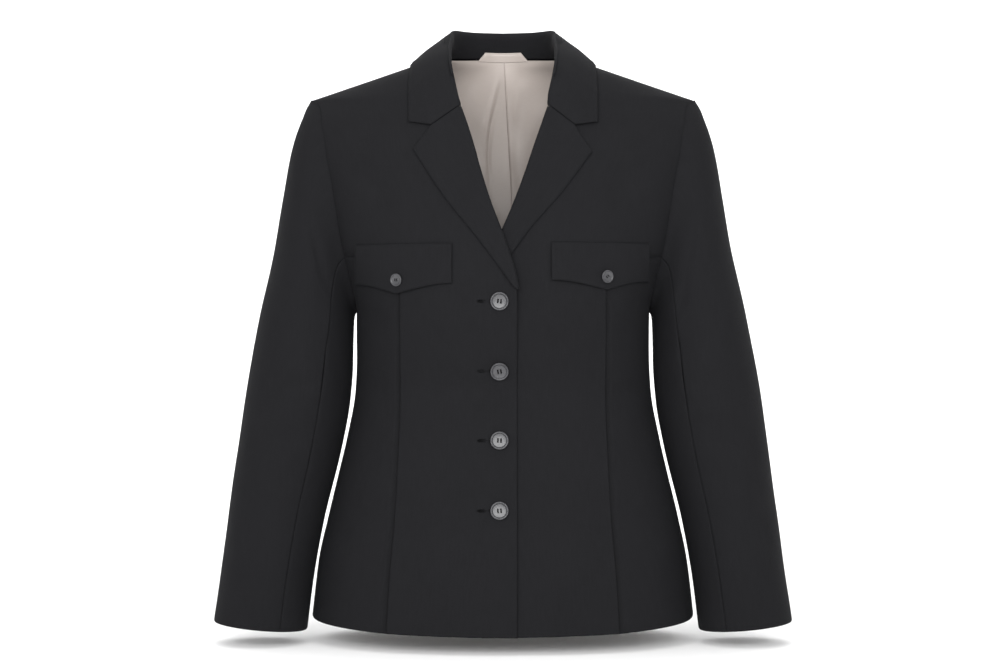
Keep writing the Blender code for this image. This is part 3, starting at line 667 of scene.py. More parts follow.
panels = {
    "yokeRows": 34,
    "bustRows": 16,
    "skirtRows": 74,
    "centreColumns": 44,
    "sideColumns": 30,
    "backColumns": 60,
    "channelDepth": 0.0013,
    "channelWidth": 0.008,
    "lapRise": 0.0007,      # the centre front's edge stands over the channel
    "softness": 0.0005,
    "backTroughs": 0.3,     # shallower, clear of the lining
    # own x, z to own x, z, width, height
    "frontFolds": {
        -1: [(0.172, -0.120, 0.118, -0.205, 0.014, -0.0022), (0.160, -0.095, 0.100, -0.170, 0.020, 0.0014),
             (0.060, -0.300, 0.010, -0.262, 0.010, -0.0010), (0.100, -0.330, 0.020, -0.356, 0.016, 0.0009),
             (0.110, -0.395, 0.018, -0.372, 0.014, -0.0010), (0.090, -0.520, 0.062, -0.625, 0.018, 0.0016),
             (0.045, -0.500, 0.030, -0.628, 0.016, -0.0013)],
        1: [(0.170, -0.115, 0.112, -0.200, 0.015, -0.0020), (0.158, -0.090, 0.095, -0.160, 0.018, 0.0013),
            (0.064, -0.310, 0.014, -0.345, 0.013, -0.0010), (0.104, -0.380, 0.016, -0.366, 0.016, 0.0009),
            (0.096, -0.500, 0.070, -0.622, 0.020, 0.0017), (0.052, -0.520, 0.040, -0.628, 0.014, -0.0013)],
    },
    "sideFolds": {
        -1: [(0.158, -0.275, 0.124, -0.330, 0.012, -0.0013), (0.162, -0.360, 0.122, -0.372, 0.010, -0.0013),
             (0.160, -0.385, 0.126, -0.400, 0.011, 0.0012), (0.185, -0.520, 0.176, -0.620, 0.018, 0.0018)],
        1: [(0.157, -0.280, 0.124, -0.336, 0.013, -0.0012), (0.162, -0.366, 0.120, -0.380, 0.011, -0.0012),
            (0.160, -0.395, 0.128, -0.408, 0.012, 0.0011), (0.186, -0.515, 0.172, -0.620, 0.017, 0.0017)],
    },
    "backFolds": {
        -1: [(0.150, -0.110, 0.095, -0.200, 0.018, -0.0020), (0.130, -0.350, 0.030, -0.366, 0.012, -0.0018),
             (0.140, -0.378, 0.040, -0.388, 0.012, 0.0013), (0.110, -0.510, 0.125, -0.625, 0.022, 0.0020),
             (0.060, -0.500, 0.066, -0.626, 0.018, -0.0015)],
        1: [(0.152, -0.115, 0.090, -0.190, 0.017, -0.0019), (0.135, -0.344, 0.036, -0.358, 0.012, -0.0017),
            (0.130, -0.384, 0.034, -0.376, 0.013, 0.0012), (0.116, -0.515, 0.128, -0.625, 0.020, 0.0019),
            (0.058, -0.490, 0.062, -0.626, 0.019, -0.0014)],
    },
}


def edgeShares(count, width, reach=0.0026):
    # even shares with a few more close to each end, where the cloth turns in
    near = np.array([0.0, 0.15, 0.4, 0.7, 1.0]) * reach / width
    inside = np.linspace(near[-1], 1 - near[-1], count - 8)[1:-1]
    return np.concatenate([near, inside, 1 - near[::-1]])


def bodyAngles():
    upper = np.linspace(0, body["flapAngle"], panels["yokeRows"])
    near = upper[1] * np.array([0.25, 0.55])
    lower = np.linspace(body["flapAngle"], math.pi, panels["bustRows"] + 1)[1:]
    return np.concatenate([upper[:1], near, upper[1:], lower])


def skirtShares():
    return edgeShares(panels["skirtRows"], 0.345)[5:]


def liftedPanel(places, side, back, lift):
    x, z = places[..., 0], places[..., 1]
    if not back:
        return onFront(x, z, side, lift)
    p = onForm(x, z, True, lift)
    p[..., 0] *= side
    return p


def inset(points, left=0.0, right=0.0, top=0.0, bottom=0.0):
    # draws the borders back along the cloth, to leave the seams open
    points = points.copy()
    for lines, first, last in ((points.transpose(1, 0, 2), left, right), (points, top, bottom)):
        for border, inside, amount in ((0, 2, first), (-1, -3, last)):
            lines[border] += unit(lines[inside] - lines[border]) * amount
    return points


def buildFront(side):
    ways = np.concatenate([edgeShares(panels["centreColumns"], 0.11),
                           1 + edgeShares(panels["sideColumns"], 0.07)[1:]])
    princess = int(np.argmin(np.abs(ways - 1)))
    places = bodyPlaces(ways, bodyAngles(), skirtShares(), side, False)
    flapRow = int(np.argmin(np.abs(places[:, princess, 1] - flapLine)))
    x, z = places[..., 0], places[..., 1]
    flat = liftedPanel(places, side, False, 0.0)
    left, right, top, bottom = borderDistances(flat)
    toPrincess = np.where(z < flapLine - 1e-5, left[:, princess:princess + 1] - left, 9.0)
    toPrincess = np.where(toPrincess < 0, 9.0, toPrincess)
    lift = folds(x, z, panels["frontFolds"][side]) + softness(x, z, 0.03, panels["softness"], 1.1 + side)
    calm = np.clip((x + 0.03) / 0.05, 0, 1) * np.clip(top / 0.03, 0, 1)
    calm = calm * np.where(z > flapLine, np.clip(right / cloth["calmReach"], 0, 1), 1.0)
    calm = calm * np.clip(toPrincess / cloth["calmReach"], 0, 1)
    lift = lift * calm
    lift = lift + panels["lapRise"] * np.clip(1 - toPrincess / 0.012, 0, 1)
    dips = deepest(dipAt(top), dipAt(bottom), dipAt(toPrincess, 0.0016, 0.0009),
                   np.where(z < lapel["break"][-1], dipAt(left, 0.0018, 0.0009), 0.0))
    points = liftedPanel(places, side, False, lift + dips)
    points = inset(points, top=-cloth["seamLap"], right=-cloth["seamLap"])
    # painted shade for the wool colour: a darker band along the armhole seam above the flap line and along the
    # turned-in borders and the princess lap
    armholeShade = np.where(z > flapLine, np.clip(1 - right / 0.0018, 0, 1), 0.0)
    seam = np.clip(armholeShade - dips / cloth["edgeDip"], 0, 1)
    normals = gridNormals(points, outward(flat))
    piece = clothSheet(f"{sideName(side)}Front", points, normals, cloth["wall"], wool, seam,
                       lambda row, k: row >= flapRow and k >= princess)
    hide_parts(f"front_{sideName(side)}")
    return piece


def buildSideFront(side):
    ways = 1 + edgeShares(panels["sideColumns"] + 10, 0.07)
    beside = 1 + np.array([0.055, 0.075, 0.1, 0.125])
    ways = np.sort(np.concatenate([ways, beside]))
    angles = bodyAngles()
    angles = angles[angles >= body["flapAngle"] - 1e-6]
    places = bodyPlaces(ways, angles, skirtShares(), side, False)
    x, z = places[..., 0], places[..., 1]
    flat = liftedPanel(places, side, False, 0.0)
    left, right, top, bottom = borderDistances(flat)
    sink = np.clip(1 - left / panels["channelWidth"], 0, 1)
    sink = sink ** 2 * (3 - 2 * sink)
    lift = folds(x, z, panels["sideFolds"][side]) + softness(x, z, 0.026, panels["softness"], 2.3 + side)
    lift = lift * np.clip(np.minimum(left, right) / cloth["calmReach"], 0, 1)
    dips = deepest(np.where(z < body["underarm"], dipAt(right), 0.0), dipAt(bottom))
    points = liftedPanel(places, side, False, lift - panels["channelDepth"] * sink + dips)
    points = inset(points, left=-cloth["seamLap"], right=-cloth["seamLap"], top=-cloth["seamLap"])
    # painted shade for the wool colour: darker along the side and hem borders, and darkest in the sunk princess
    # channel
    seam = np.clip(-dips / cloth["edgeDip"] + 1.3 * sink, 0, 1.3)
    piece = clothSheet(f"{sideName(side)}SideFront", points, gridNormals(points, outward(flat)),
                       cloth["wall"], wool, seam)
    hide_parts(f"side_front_{sideName(side)}")
    return piece


def buildBack(side):
    ways = edgeShares(panels["backColumns"], 0.2)
    places = bodyPlaces(ways, bodyAngles(), skirtShares(), side, True)
    x, z = places[..., 0], places[..., 1]
    flat = liftedPanel(places, side, True, 0.0)
    left, right, top, bottom = borderDistances(flat)
    lift = folds(x, z, panels["backFolds"][side]) + softness(x, z, 0.032, panels["softness"], 3.1 + side)
    lift = np.where(lift < 0, lift * panels["backTroughs"], lift)
    lift = lift * np.clip(np.minimum(left, right) / cloth["calmReach"], 0, 1) * np.clip(top / 0.03, 0, 1)
    sideSeam = np.where(z < body["underarm"], dipAt(right), 0.0)
    dips = deepest(dipAt(left), sideSeam, dipAt(top), dipAt(bottom))
    points = liftedPanel(places, side, True, lift + dips)
    points = inset(points, -cloth["seamLap"], -cloth["seamLap"], -cloth["seamLap"])
    # painted shade for the wool colour: darker where the cloth turns in at the borders
    seam = np.clip(-dips / cloth["edgeDip"], 0, 1)
    piece = clothSheet(f"{sideName(side)}Back", points, gridNormals(points, outward(flat)),
                       cloth["wall"], wool, seam)
    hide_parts(f"back_{sideName(side)}")
    return piece


# ---- lining

lining = {
    "depth": 0.0028,
    "columns": 80,
    "rows": 120,
    "topInset": -0.0008,
    "pleat": [(0.010, 0.0012), (-0.060, 0.0052), (-0.150, 0.0098), (-0.640, 0.0150)],   # z, x of its edge
    "pleatRise": 0.0018,
    "hemInset": 0.012,
    # x, z to x, z, width, height: the lining only bulges into the hollow
    "creases": [
        (0.001, 0.004, 0.0085, -0.210, 0.0022, 0.0024), (0.0045, 0.000, 0.0135, -0.230, 0.0035, -0.0016),
        (-0.060, -0.020, -0.012, -0.150, 0.007, 0.0026), (0.055, -0.030, 0.030, -0.160, 0.008, 0.0024),
        (-0.048, -0.050, -0.036, -0.190, 0.006, -0.0016), (0.020, -0.060, 0.048, -0.190, 0.006, 0.0018),
        (-0.035, -0.158, 0.040, -0.168, 0.006, 0.0026), (-0.080, -0.200, 0.090, -0.215, 0.010, 0.0022),
        (-0.030, -0.012, -0.018, -0.080, 0.005, 0.0014), (0.030, -0.010, 0.018, -0.070, 0.005, 0.0014),
        (-0.110, -0.300, -0.090, -0.520, 0.012, 0.0030), (0.105, -0.300, 0.095, -0.540, 0.012, 0.0030),
        (-0.050, -0.360, -0.055, -0.600, 0.010, 0.0026), (0.045, -0.340, 0.060, -0.600, 0.010, 0.0026),
    ],
}


def buildLining():
    half = np.concatenate([np.linspace(0, 0.09, 32), np.linspace(0.09, 1, lining["columns"] // 2)[1:]])
    angles = np.linspace(0, math.pi, 44)
    halves = []
    for side in (-1, 1):
        places = bodyPlaces(half, angles, np.linspace(0, 1, lining["rows"] - 43)[1:], side, True)
        halves.append(places * np.array([side, 1]))
    places = np.concatenate([halves[0][:, :0:-1], halves[1]], axis=1)
    x, z = places[..., 0], places[..., 1]
    flat = onForm(x, z, True, -lining["depth"])
    left, right, top, bottom = borderDistances(flat)
    bulge = folds(x, z, lining["creases"]) + softness(x, z, 0.022, 0.0007, 0.4) + 0.0008
    past = x - column(lining["pleat"], 1)(z)
    bulge = bulge + lining["pleatRise"] * np.clip(past / 0.0007, 0, 1) * np.exp(-np.maximum(past, 0) / 0.012)
    bulge = bulge * np.clip(np.minimum(np.minimum(left, right), np.minimum(top, bottom)) / 0.03, 0, 1)
    points = onForm(x, z, True, -lining["depth"] - bulge)
    points = inset(points, 0.003, 0.003, lining["topInset"], lining["hemInset"])
    # painted shade for the satin colour: a dark line along the pleat's folded edge and a darker band under the
    # neck seam
    seam = np.clip(1.6 - np.abs(past) / 0.0005, 0, 1.6) + np.clip(1 - top / 0.0012, 0, 1)
    piece = clothSheet("backLining", points, gridNormals(points, outward(flat)), cloth["liningWall"],
                       satin, seam)
    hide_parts("back_lining")
    return piece


patch = {"foot": 0.0045, "height": 0.0105, "halfTop": 0.0215, "halfFoot": 0.0305, "depth": 0.0029}


def buildNeckPatch():
    up = np.linspace(1, 0, 14)[:, None]
    share = np.linspace(-1, 1, 60)[None, :]
    half = patch["halfFoot"] + (patch["halfTop"] - patch["halfFoot"]) * up
    x, z = half * share, patch["foot"] + patch["height"] * up + 0 * share
    flat = onForm(x, z, True, -patch["depth"])
    left, right, top, bottom = borderDistances(flat)
    rim = np.minimum(np.minimum(left, right), top)
    stitched = 0.0004 * np.exp(-((rim - 0.0016) / 0.0004) ** 2)
    points = onForm(x, z, True, -patch["depth"] + stitched - 0.0003 * np.clip(rim / 0.003, 0, 1))
    # painted shade for the satin colour: darker along the patch's rim
    piece = clothSheet("neckPatch", points, gridNormals(points, outward(flat)), cloth["liningWall"],
                       satin, np.clip(1 - rim / 0.0008, 0, 1))
    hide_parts("neck_patch")
    return piece


# ---- sleeves

sleeve = {
    "columns": 96,
    "upperShare": 16 / 24,
    "rows": 120,
    "armholeGap": 0.0001,
    # outer x, outer z, inner x, inner z, middle y, half depth
    "rings": [
        (0.2245, -0.0690, 0.1658, -0.2890, 0.0020, 0.0590), (0.2366, -0.1056, 0.1668, -0.2960, 0.0015, 0.0625),
        (0.2460, -0.1600, 0.1672, -0.3060, 0.0000, 0.0650), (0.2549, -0.2143, 0.1674, -0.3200, -0.0020, 0.0660),
        (0.2710, -0.2876, 0.1676, -0.3440, -0.0050, 0.0655), (0.2860, -0.3717, 0.1705, -0.3850, -0.0090, 0.0630),
        (0.2938, -0.4275, 0.1790, -0.4340, -0.0130, 0.0600), (0.3043, -0.5115, 0.1990, -0.5180, -0.0200, 0.0550),
        (0.3120, -0.5700, 0.2095, -0.5780, -0.0250, 0.0525), (0.3195, -0.6260, 0.2165, -0.6360, -0.0300, 0.0510),
    ],
    # angle round the sleeve in turns, share down, to the same, width in metres, height
    "folds": {
        -1: [(0.13, 0.52, 0.33, 0.47, 0.012, -0.0026), (0.15, 0.58, 0.34, 0.55, 0.010, 0.0017),
             (0.10, 0.63, 0.32, 0.60, 0.012, -0.0020), (0.20, 0.08, 0.30, 0.26, 0.013, -0.0024),
             (0.24, 0.14, 0.36, 0.36, 0.014, 0.0016), (0.86, 0.50, 0.68, 0.46, 0.014, -0.0018),
             (0.90, 0.10, 0.74, 0.30, 0.015, -0.0020), (0.05, 0.72, 0.16, 0.90, 0.018, 0.0012)],
        1: [(0.12, 0.50, 0.33, 0.46, 0.013, -0.0024), (0.14, 0.56, 0.35, 0.54, 0.010, 0.0016),
            (0.11, 0.64, 0.31, 0.60, 0.013, -0.0019), (0.19, 0.09, 0.31, 0.28, 0.012, -0.0024),
            (0.25, 0.12, 0.35, 0.34, 0.015, 0.0016), (0.87, 0.52, 0.69, 0.47, 0.013, -0.0017),
            (0.91, 0.12, 0.73, 0.30, 0.014, -0.0020), (0.06, 0.74, 0.15, 0.92, 0.018, 0.0012)],
    },
}


def sleeveTube(side, turns, shares):
    z = armholeZ + armholeHeight * np.cos(turns)
    y = -np.where(np.sin(turns) < 0, body["armholeBack"], body["armholeFront"]) * np.sin(turns)
    power = ringPower(z)
    x = halfWidth(z) * (1 - np.abs(y / depthAt(z, y > 0)) ** power) ** (1 / power) + sleeve["armholeGap"]
    lines = [np.stack([x, y, z], axis=-1)]
    for outerX, outerZ, innerX, innerZ, middleY, halfDepth in sleeve["rings"]:
        swing = (1 + np.cos(turns)) / 2
        lines.append(np.stack([innerX + (outerX - innerX) * swing, middleY - halfDepth * np.sin(turns),
                               innerZ + (outerZ - innerZ) * swing], axis=-1))
    lengths = np.linalg.norm(np.diff(np.array(lines), axis=0), axis=2).mean(axis=1)
    stations = np.concatenate([[0], np.cumsum(lengths)])
    points = throughRows(stations, np.array(lines))(shares * stations[-1])
    points[..., 0] *= side
    return points


def buildSleeve(side):
    shares = edgeShares(sleeve["rows"], 0.56)
    turnStep = 2 * math.pi / sleeve["columns"]
    reach = math.pi * sleeve["upperShare"]
    spans = {"upper": (-reach, reach), "under": (reach, 2 * math.pi - reach)}
    made = []
    for name, (start, end) in spans.items():
        count = round((end - start) / turnStep) + 9
        turns = start + (end - start) * edgeShares(count, (end - start) * 0.058)
        tube = sleeveTube(side, turns, shares)
        middle = sleeveTube(side, np.linspace(0, 2 * math.pi, 25)[:-1], shares).mean(axis=1, keepdims=True)
        normals = gridNormals(tube, tube - middle)
        left, right, top, bottom = borderDistances(tube)
        around = (turns[None, :] / (2 * math.pi)) % 1.0 + 0 * top
        lift = folds(around * 0.36, shares[:, None] * 0.56 + 0 * top,
                     [(a * 0.36, b * 0.56, c * 0.36, d * 0.56, w, h) for a, b, c, d, w, h
                      in sleeve["folds"][side]])
        lift = lift + softness(around * 0.36, shares[:, None] * 0.56, 0.03, 0.0004, 5.2 + side)
        lift = np.minimum(lift, 0.0012)
        inner = np.clip((np.abs(around - 0.5) - 0.10) / 0.06, 0, 1)
        lift = lift * inner * np.clip(top / 0.02, 0, 1) * np.clip(bottom / 0.02, 0, 1)
        puff = 0.0010 * np.exp(-((top - 0.011) / 0.008) ** 2) * np.clip(np.cos(turns), 0, 1)
        dips = deepest(dipAt(left), dipAt(right), dipAt(bottom)) * np.clip(top / 0.004, 0, 1)
        points = tube + normals * (lift + puff + dips)[..., None]
        points = inset(points, -cloth["seamLap"], -cloth["seamLap"], -cloth["armholeLap"])
        # painted shade for the wool colour: darker along the armhole seam and where the cloth turns in at the
        # other borders
        seam = np.clip(np.clip(1 - top / 0.0025, 0, 1) - dips / cloth["edgeDip"], 0, 1)
        piece = clothSheet(f"{sideName(side)}{name.capitalize()}Sleeve", points,
                           gridNormals(points, tube - middle), cloth["wall"], wool, seam)
        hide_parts(f"{name}_sleeve_{sideName(side)}")
        made.append(piece)
    return made


# ---- collar and lapels

collar = {
    "wall": 0.0016,
    "lift": 0.0034,
    "rows": 90,             # along one half
    "columns": 26,
    "bulge": 0.0045,
    "foldReach": 0.0026,
    # inside and below the fold: the stand rolls over to it
    "standRoll": [(0.0036, 0.0058), (0.0032, 0.0036), (0.0025, 0.0018), (0.0014, 0.0006), (0.0006, 0.0003)],
    "standSeamLift": 0.0020,
    "gorgeZ": -0.0655,
    "notch": (0.0770, -0.0855),
    "corner": (0.1026, -0.0810),
    "notchShare": 0.6,
    # fold x, y, z, outer x, z, and 1 where the outer edge lies on the back
    "sections": [
        (0.0000, 0.0740, 0.0360, 0.0000, -0.0100, 1), (0.0300, 0.0670, 0.0358, 0.0400, -0.0100, 1),
        (0.0530, 0.0440, 0.0350, 0.0780, -0.0115, 1), (0.0605, 0.0180, 0.0290, 0.0975, -0.0125, 1),
        (0.0605, -0.0140, 0.0150, 0.1020, -0.0160, -1), (0.0585, -0.0420, 0.0000, 0.1030, -0.0330, -1),
        (0.0555, -0.0640, -0.0200, 0.1030, -0.0550, -1), (0.0490, -0.0815, -0.0500, 0.1028, -0.0760, -1),
    ],
}

lapel = {
    "wall": 0.0018,
    "lift": 0.0026,
    "rollLift": 0.0022,
    "rollReach": 0.014,
    "flatFrom": -0.165,
    "flatFade": 0.030,
    "underClearance": 0.0004,
    "gorgeGap": 0.0001,
    "rows": 90,
    "columns": 34,
    "break": {-1: -0.2620, 1: -0.2540},
    "edge": {
        -1: [(0.0970, -0.1110), (0.0619, -0.1642), (0.0293, -0.2053), (0.0074, -0.2343), (-0.0080, -0.2560)],
        1: [(0.0957, -0.1140), (0.0619, -0.1599), (0.0293, -0.1968), (0.0074, -0.2263), (-0.0110, -0.2480)],
    },
    # beside and below the roll: the facing turns round the front's edge
    "hook": [(-0.0024, 0.0058), (-0.0026, 0.0044), (-0.0026, 0.0031), (-0.0023, 0.0018), (-0.0017, 0.0009),
             (-0.0009, 0.0003)],
}


def collarHalf(places, side):
    sections = np.array(collar["sections"])
    outer = np.array([onForm(x, z, where > 0, collar["lift"]) for x, z, where in sections[:, 3:]])
    stations = np.linspace(0, 1, len(sections))
    fold = throughRows(stations, sections[:, :3])(places)
    outer = seat(throughRows(stations, outer)(places), collar["lift"])
    flip = np.array([side, 1, 1])
    level = unit(fold * np.array([1, 1, 0]))
    share = np.concatenate([[0.0], np.linspace(0, 1, collar["columns"])])[None, :, None]
    upward = level + np.array([0, 0, 0.5])
    puff = upward[:, None] * collar["bulge"] * 4 * share * (1 - share) ** 1.5
    fall = fold[:, None] * (1 - share) + outer[:, None] * share + puff
    fall[:, 0] = fold - level * 0.0011 - np.array([0, 0, 0.0006])
    fall[:, 1] = fold - level * 0.0004 + np.array([0, 0, 0.0001])
    near = swell(fall) / np.linalg.norm(slopeOf(fall), axis=-1) < collar["lift"]
    near[:, :2] = False
    fall[near] = seat(fall[near], collar["lift"])
    # towards the lapels it stays behind the fall
    behind = 0.0042 * np.clip((places[:, None] - 0.5) / 0.3, 0, 1)
    rolled = [fold - level * (inside - behind) - np.array([0, 0, drop]) for inside, drop in collar["standRoll"]]
    turn = math.pi * (1 - places * 0.7)
    backX = body["neckPoint"] * np.sin(np.maximum(turn, math.pi / 2)) ** (2 / float(ringPower(0)))
    backFoot = onForm(backX, shoulderTop(backX) + collar["standSeamLift"], True)
    frontZ = -0.060 * (1 - np.minimum(turn, math.pi / 2) / (math.pi / 2)) / 0.4
    frontFoot = onForm(frontEdges[side](frontZ) - 0.0006, frontZ + collar["standSeamLift"], False)
    foot = np.where((turn > math.pi / 2)[:, None], backFoot, frontFoot)
    rise = np.linspace(0, 1, 14)[None, :, None]
    stand = foot[:, None] * (1 - rise) + rolled[0][:, None] * rise
    stand = np.concatenate([stand, np.stack(rolled[1:], axis=1)], axis=1)
    return fall * flip, stand * flip


def gorgeRow(side):
    share = np.concatenate([[0.0, 0.0], np.linspace(0, 1, collar["columns"])[1:]])
    roll = float(frontEdges[side](collar["gorgeZ"]))
    stops = [(roll, collar["gorgeZ"]), collar["notch"], collar["corner"]]
    x, z = (np.interp(share, [0, collar["notchShare"], 1], [stop[axis] for stop in stops]) for axis in (0, 1))
    p = onForm(x, z, False, collar["lift"] + 0.0014 * (1 - share) ** 2)
    level = unit(outward(p[:1]) * np.array([1, 1, 0]))[0]
    p[0] += np.array([-0.0026, 0, 0]) - level * 0.0031
    p[1] += np.array([-0.0017, 0, 0]) - level * 0.0009
    p[:, 0] *= side
    return p


def buildCollar():
    places = np.linspace(0, 1, collar["rows"])
    fall, stand = [], []
    for side in (-1, 1):
        halfFall, halfStand = collarHalf(places, side)
        corner = gorgeRow(side)
        # the last rows run from the last section to the gorge
        bridge = [halfFall[-1] * (1 - s) + corner * s for s in np.linspace(0, 1, 12)[1:]]
        halfFall = np.concatenate([halfFall, np.array(bridge)])
        halfStand = halfStand[:int(collar["rows"] * 0.90)]
        fall.append(halfFall[:0:-1] if side < 0 else halfFall)
        stand.append(halfStand[:0:-1] if side < 0 else halfStand)
    fall, stand = np.concatenate(fall), np.concatenate(stand)
    axis = np.array([0.0, -0.005, -0.02])
    normals = gridNormals(fall, fall - axis)
    left, right, top, bottom = borderDistances(fall)
    rim = np.minimum(np.minimum(top, bottom), right)
    dips = dipAt(rim, 0.0020, 0.0007) + 0.00035 * np.exp(-((rim - 0.0045) / 0.0025) ** 2)
    points = inset(fall + normals * dips[..., None], 0, 0, 0.0004, 0.0004)
    # painted shade for the wool colour: darker along the collar's rolled edges
    seam = np.clip(1 - rim / 0.0014, 0, 1) * 0.8
    outer = clothSheet("collarFall", points, gridNormals(points, fall - axis), collar["wall"], wool, seam)
    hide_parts("collar_fall")
    left, right, top, bottom = borderDistances(stand)
    standNormals = gridNormals(stand, stand - axis)
    # painted shade for the wool colour: darker along the stand's seam edge
    seam = np.clip(1 - left / 0.0016, 0, 1)
    stand = stand + standNormals * dipAt(left, 0.002, 0.0006)[..., None]
    inner = clothSheet("collarStand", stand, gridNormals(stand, stand - axis), collar["wall"],
                       woolInside, seam)
    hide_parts("collar_stand")
    return [outer, inner]


def buildLapel(side):
    edge = np.array(lapel["edge"][side])
    lengths = np.concatenate([[0], np.cumsum(np.linalg.norm(np.diff(edge, axis=0), axis=1))])
    start = collar["gorgeZ"] - lapel["gorgeGap"]
    share = edgeShares(lapel["rows"], 0.2)[:, None]
    z = start + (lapel["break"][side] - start) * share
    rollX = frontEdges[side](z)
    edgeX, edgeZ = (throughRows(lengths, edge[:, axis])(share * lengths[-1]) for axis in (0, 1))
    out = edgeShares(lapel["columns"], 0.06)[None, :]
    x = rollX * (1 - out) + edgeX * out
    height = z * (1 - out) + edgeZ * out
    notch = (collar["notch"][0], collar["notch"][1] - lapel["gorgeGap"])
    topX, topZ = (np.interp(out[0], [0, collar["notchShare"], 1], [first, middle, last])
                  for first, middle, last in ((rollX[0, 0], notch[0], edgeX[0, 0]),
                                              (z[0, 0], notch[1], edgeZ[0, 0])))
    pull = np.clip(1 - share / 0.16, 0, 1) ** 1.0
    x = x + (topX[None, :] - x[:1]) * pull
    height = height + (topZ[None, :] - height[:1]) * pull
    width = np.hypot(edgeX - rollX, edgeZ - z)
    flat = np.clip((lapel["flatFrom"] - height) / lapel["flatFade"], 0, 1) if side > 0 else 0 * height
    lift = lapel["lift"] + lapel["underClearance"] * flat
    lift = lift + lapel["rollLift"] * (1 - flat) * np.exp(-(width * out / lapel["rollReach"]) ** 2)
    gorge = collar["lift"] + 0.0014 * (1 - out) ** 2
    lift = lift + (gorge - lift) * np.clip(1 - share / 0.06, 0, 1)
    flatPoints = onFront(x, height, side, lift)
    left, right, top, bottom = borderDistances(flatPoints)
    rim = np.minimum(right, np.where(np.arange(len(out[0])) / len(out[0]) > 0.62, top, 9.0))
    dips = dipAt(rim, 0.0020, 0.0007) + 0.00035 * np.exp(-((rim - 0.0045) / 0.0025) ** 2)
    points = onFront(x, height, side, lift + dips)
    # the roll: down beside the front's edge, level with its row
    scale = lift[:, 0] / (lapel["lift"] + lapel["rollLift"])
    level = unit(outward(points[:, 0]) * np.array([1, 1, 0]))
    hook = []
    for beside, deep in lapel["hook"]:
        rolled = points[:, 0] - level * (deep * scale)[:, None]
        rolled[:, 0] -= side * -beside
        hook.append(rolled)
    points = np.concatenate([np.stack(hook, axis=1), points], axis=1)
    normals = gridNormals(points, np.concatenate([flatPoints[:, :1] * 0] * len(hook)
                                                 + [outward(flatPoints)], axis=1))
    rim = np.concatenate([rim[:, :1] * 0 + 9.0] * len(hook) + [rim], axis=1)
    # painted shade for the wool colour: darker along the lapel's rolled edges
    seam = np.clip(1 - rim / 0.0014, 0, 1) * 0.8
    piece = clothSheet(f"{sideName(side)}Lapel", points, normals, lapel["wall"], wool, seam)
    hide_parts(f"lapel_{sideName(side)}")
    return piece


# ---- pocket flaps

flaps = {
    -1: {"inner": 0.054, "outer": 0.160, "point": 0.1130, "top": -0.2130, "corner": -0.2560,
         "tip": -0.2665, "buttonZ": -0.2515},
    1: {"inner": 0.051, "outer": 0.158, "point": 0.1105, "top": -0.2115, "corner": -0.2525,
        "tip": -0.2625, "buttonZ": -0.2480},
    "wall": 0.0018,
    "lift": 0.0024,
    "flare": 0.0012,
}


def buildFlap(side):
    sizes = flaps[side]
    half = edgeShares(36, 0.055)
    x = np.concatenate([sizes["inner"] + (sizes["point"] - sizes["inner"]) * half,
                        sizes["point"] + (sizes["outer"] - sizes["point"]) * half[1:]])[None, :]
    end = np.where(x < sizes["point"], sizes["inner"], sizes["outer"])
    toPoint = (x - end) / (sizes["point"] - end)
    rise = toPoint ** 2 * (3 - 2 * toPoint) * 0.35 + 0.65 * toPoint ** 2.2
    bottomZ = sizes["corner"] + (sizes["tip"] - sizes["corner"]) * rise
    down = edgeShares(30, 0.05)[:, None]
    z = sizes["top"] + (bottomZ - sizes["top"]) * down
    x = x + 0 * z
    flat = onFront(x, z, side, flaps["lift"])
    left, right, top, bottom = borderDistances(flat)
    rim = np.minimum(np.minimum(left, right), bottom)
    wave = 0.0006 * np.sin((x - sizes["inner"]) / 0.021 + side) * down
    dips = dipAt(rim, 0.0020, 0.0008) + dipAt(top, 0.0035, 0.0012)
    dips = dips + 0.0003 * np.exp(-((rim - 0.0045) / 0.002) ** 2)
    points = onFront(x, z, side, flaps["lift"] + flaps["flare"] * down + wave + dips)
    # painted shade for the wool colour: darker along the flap's rim and under its top seam
    seam = np.clip(np.maximum(1 - rim / 0.0014, 1 - top / 0.0022), 0, 1)
    piece = clothSheet(f"{sideName(side)}Flap", points, gridNormals(points, outward(flat)), flaps["wall"],
                       wool, seam)
    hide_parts(f"flap_{sideName(side)}")
    return piece


# ---- buttons and buttonholes

buttons = {
    "x": -0.0037,
    "top": -0.275,
    "pitch": 0.0744,
    "lifts": (0.0006, 0.0010, 0.0009, 0.0006),
    "radius": 0.0097,
    "flapRadius": 0.0068,
    "thickness": 0.30,      # of the radius
    "holeAt": (0.17, 0.17),
    "holeRadius": 0.095,
    # radius and height, as shares
    "profile": [(0.0, 0.60), (0.34, 0.61), (0.60, 0.66), (0.725, 0.71), (0.775, 0.52), (0.815, 0.60),
                (0.85, 0.88), (0.90, 1.0), (0.95, 0.97), (0.99, 0.76), (1.0, 0.55), (0.975, 0.28), (0.86, 0.06),
                (0.60, 0.0), (0.0, 0.0)],
    "buttonholeLength": 0.0245,
    "buttonholeWidth": 0.0021,
}


def pointAlong(facing):
    facing = Vector(facing).normalized()
    return facing.to_track_quat("Z", "Y").to_matrix().to_4x4()


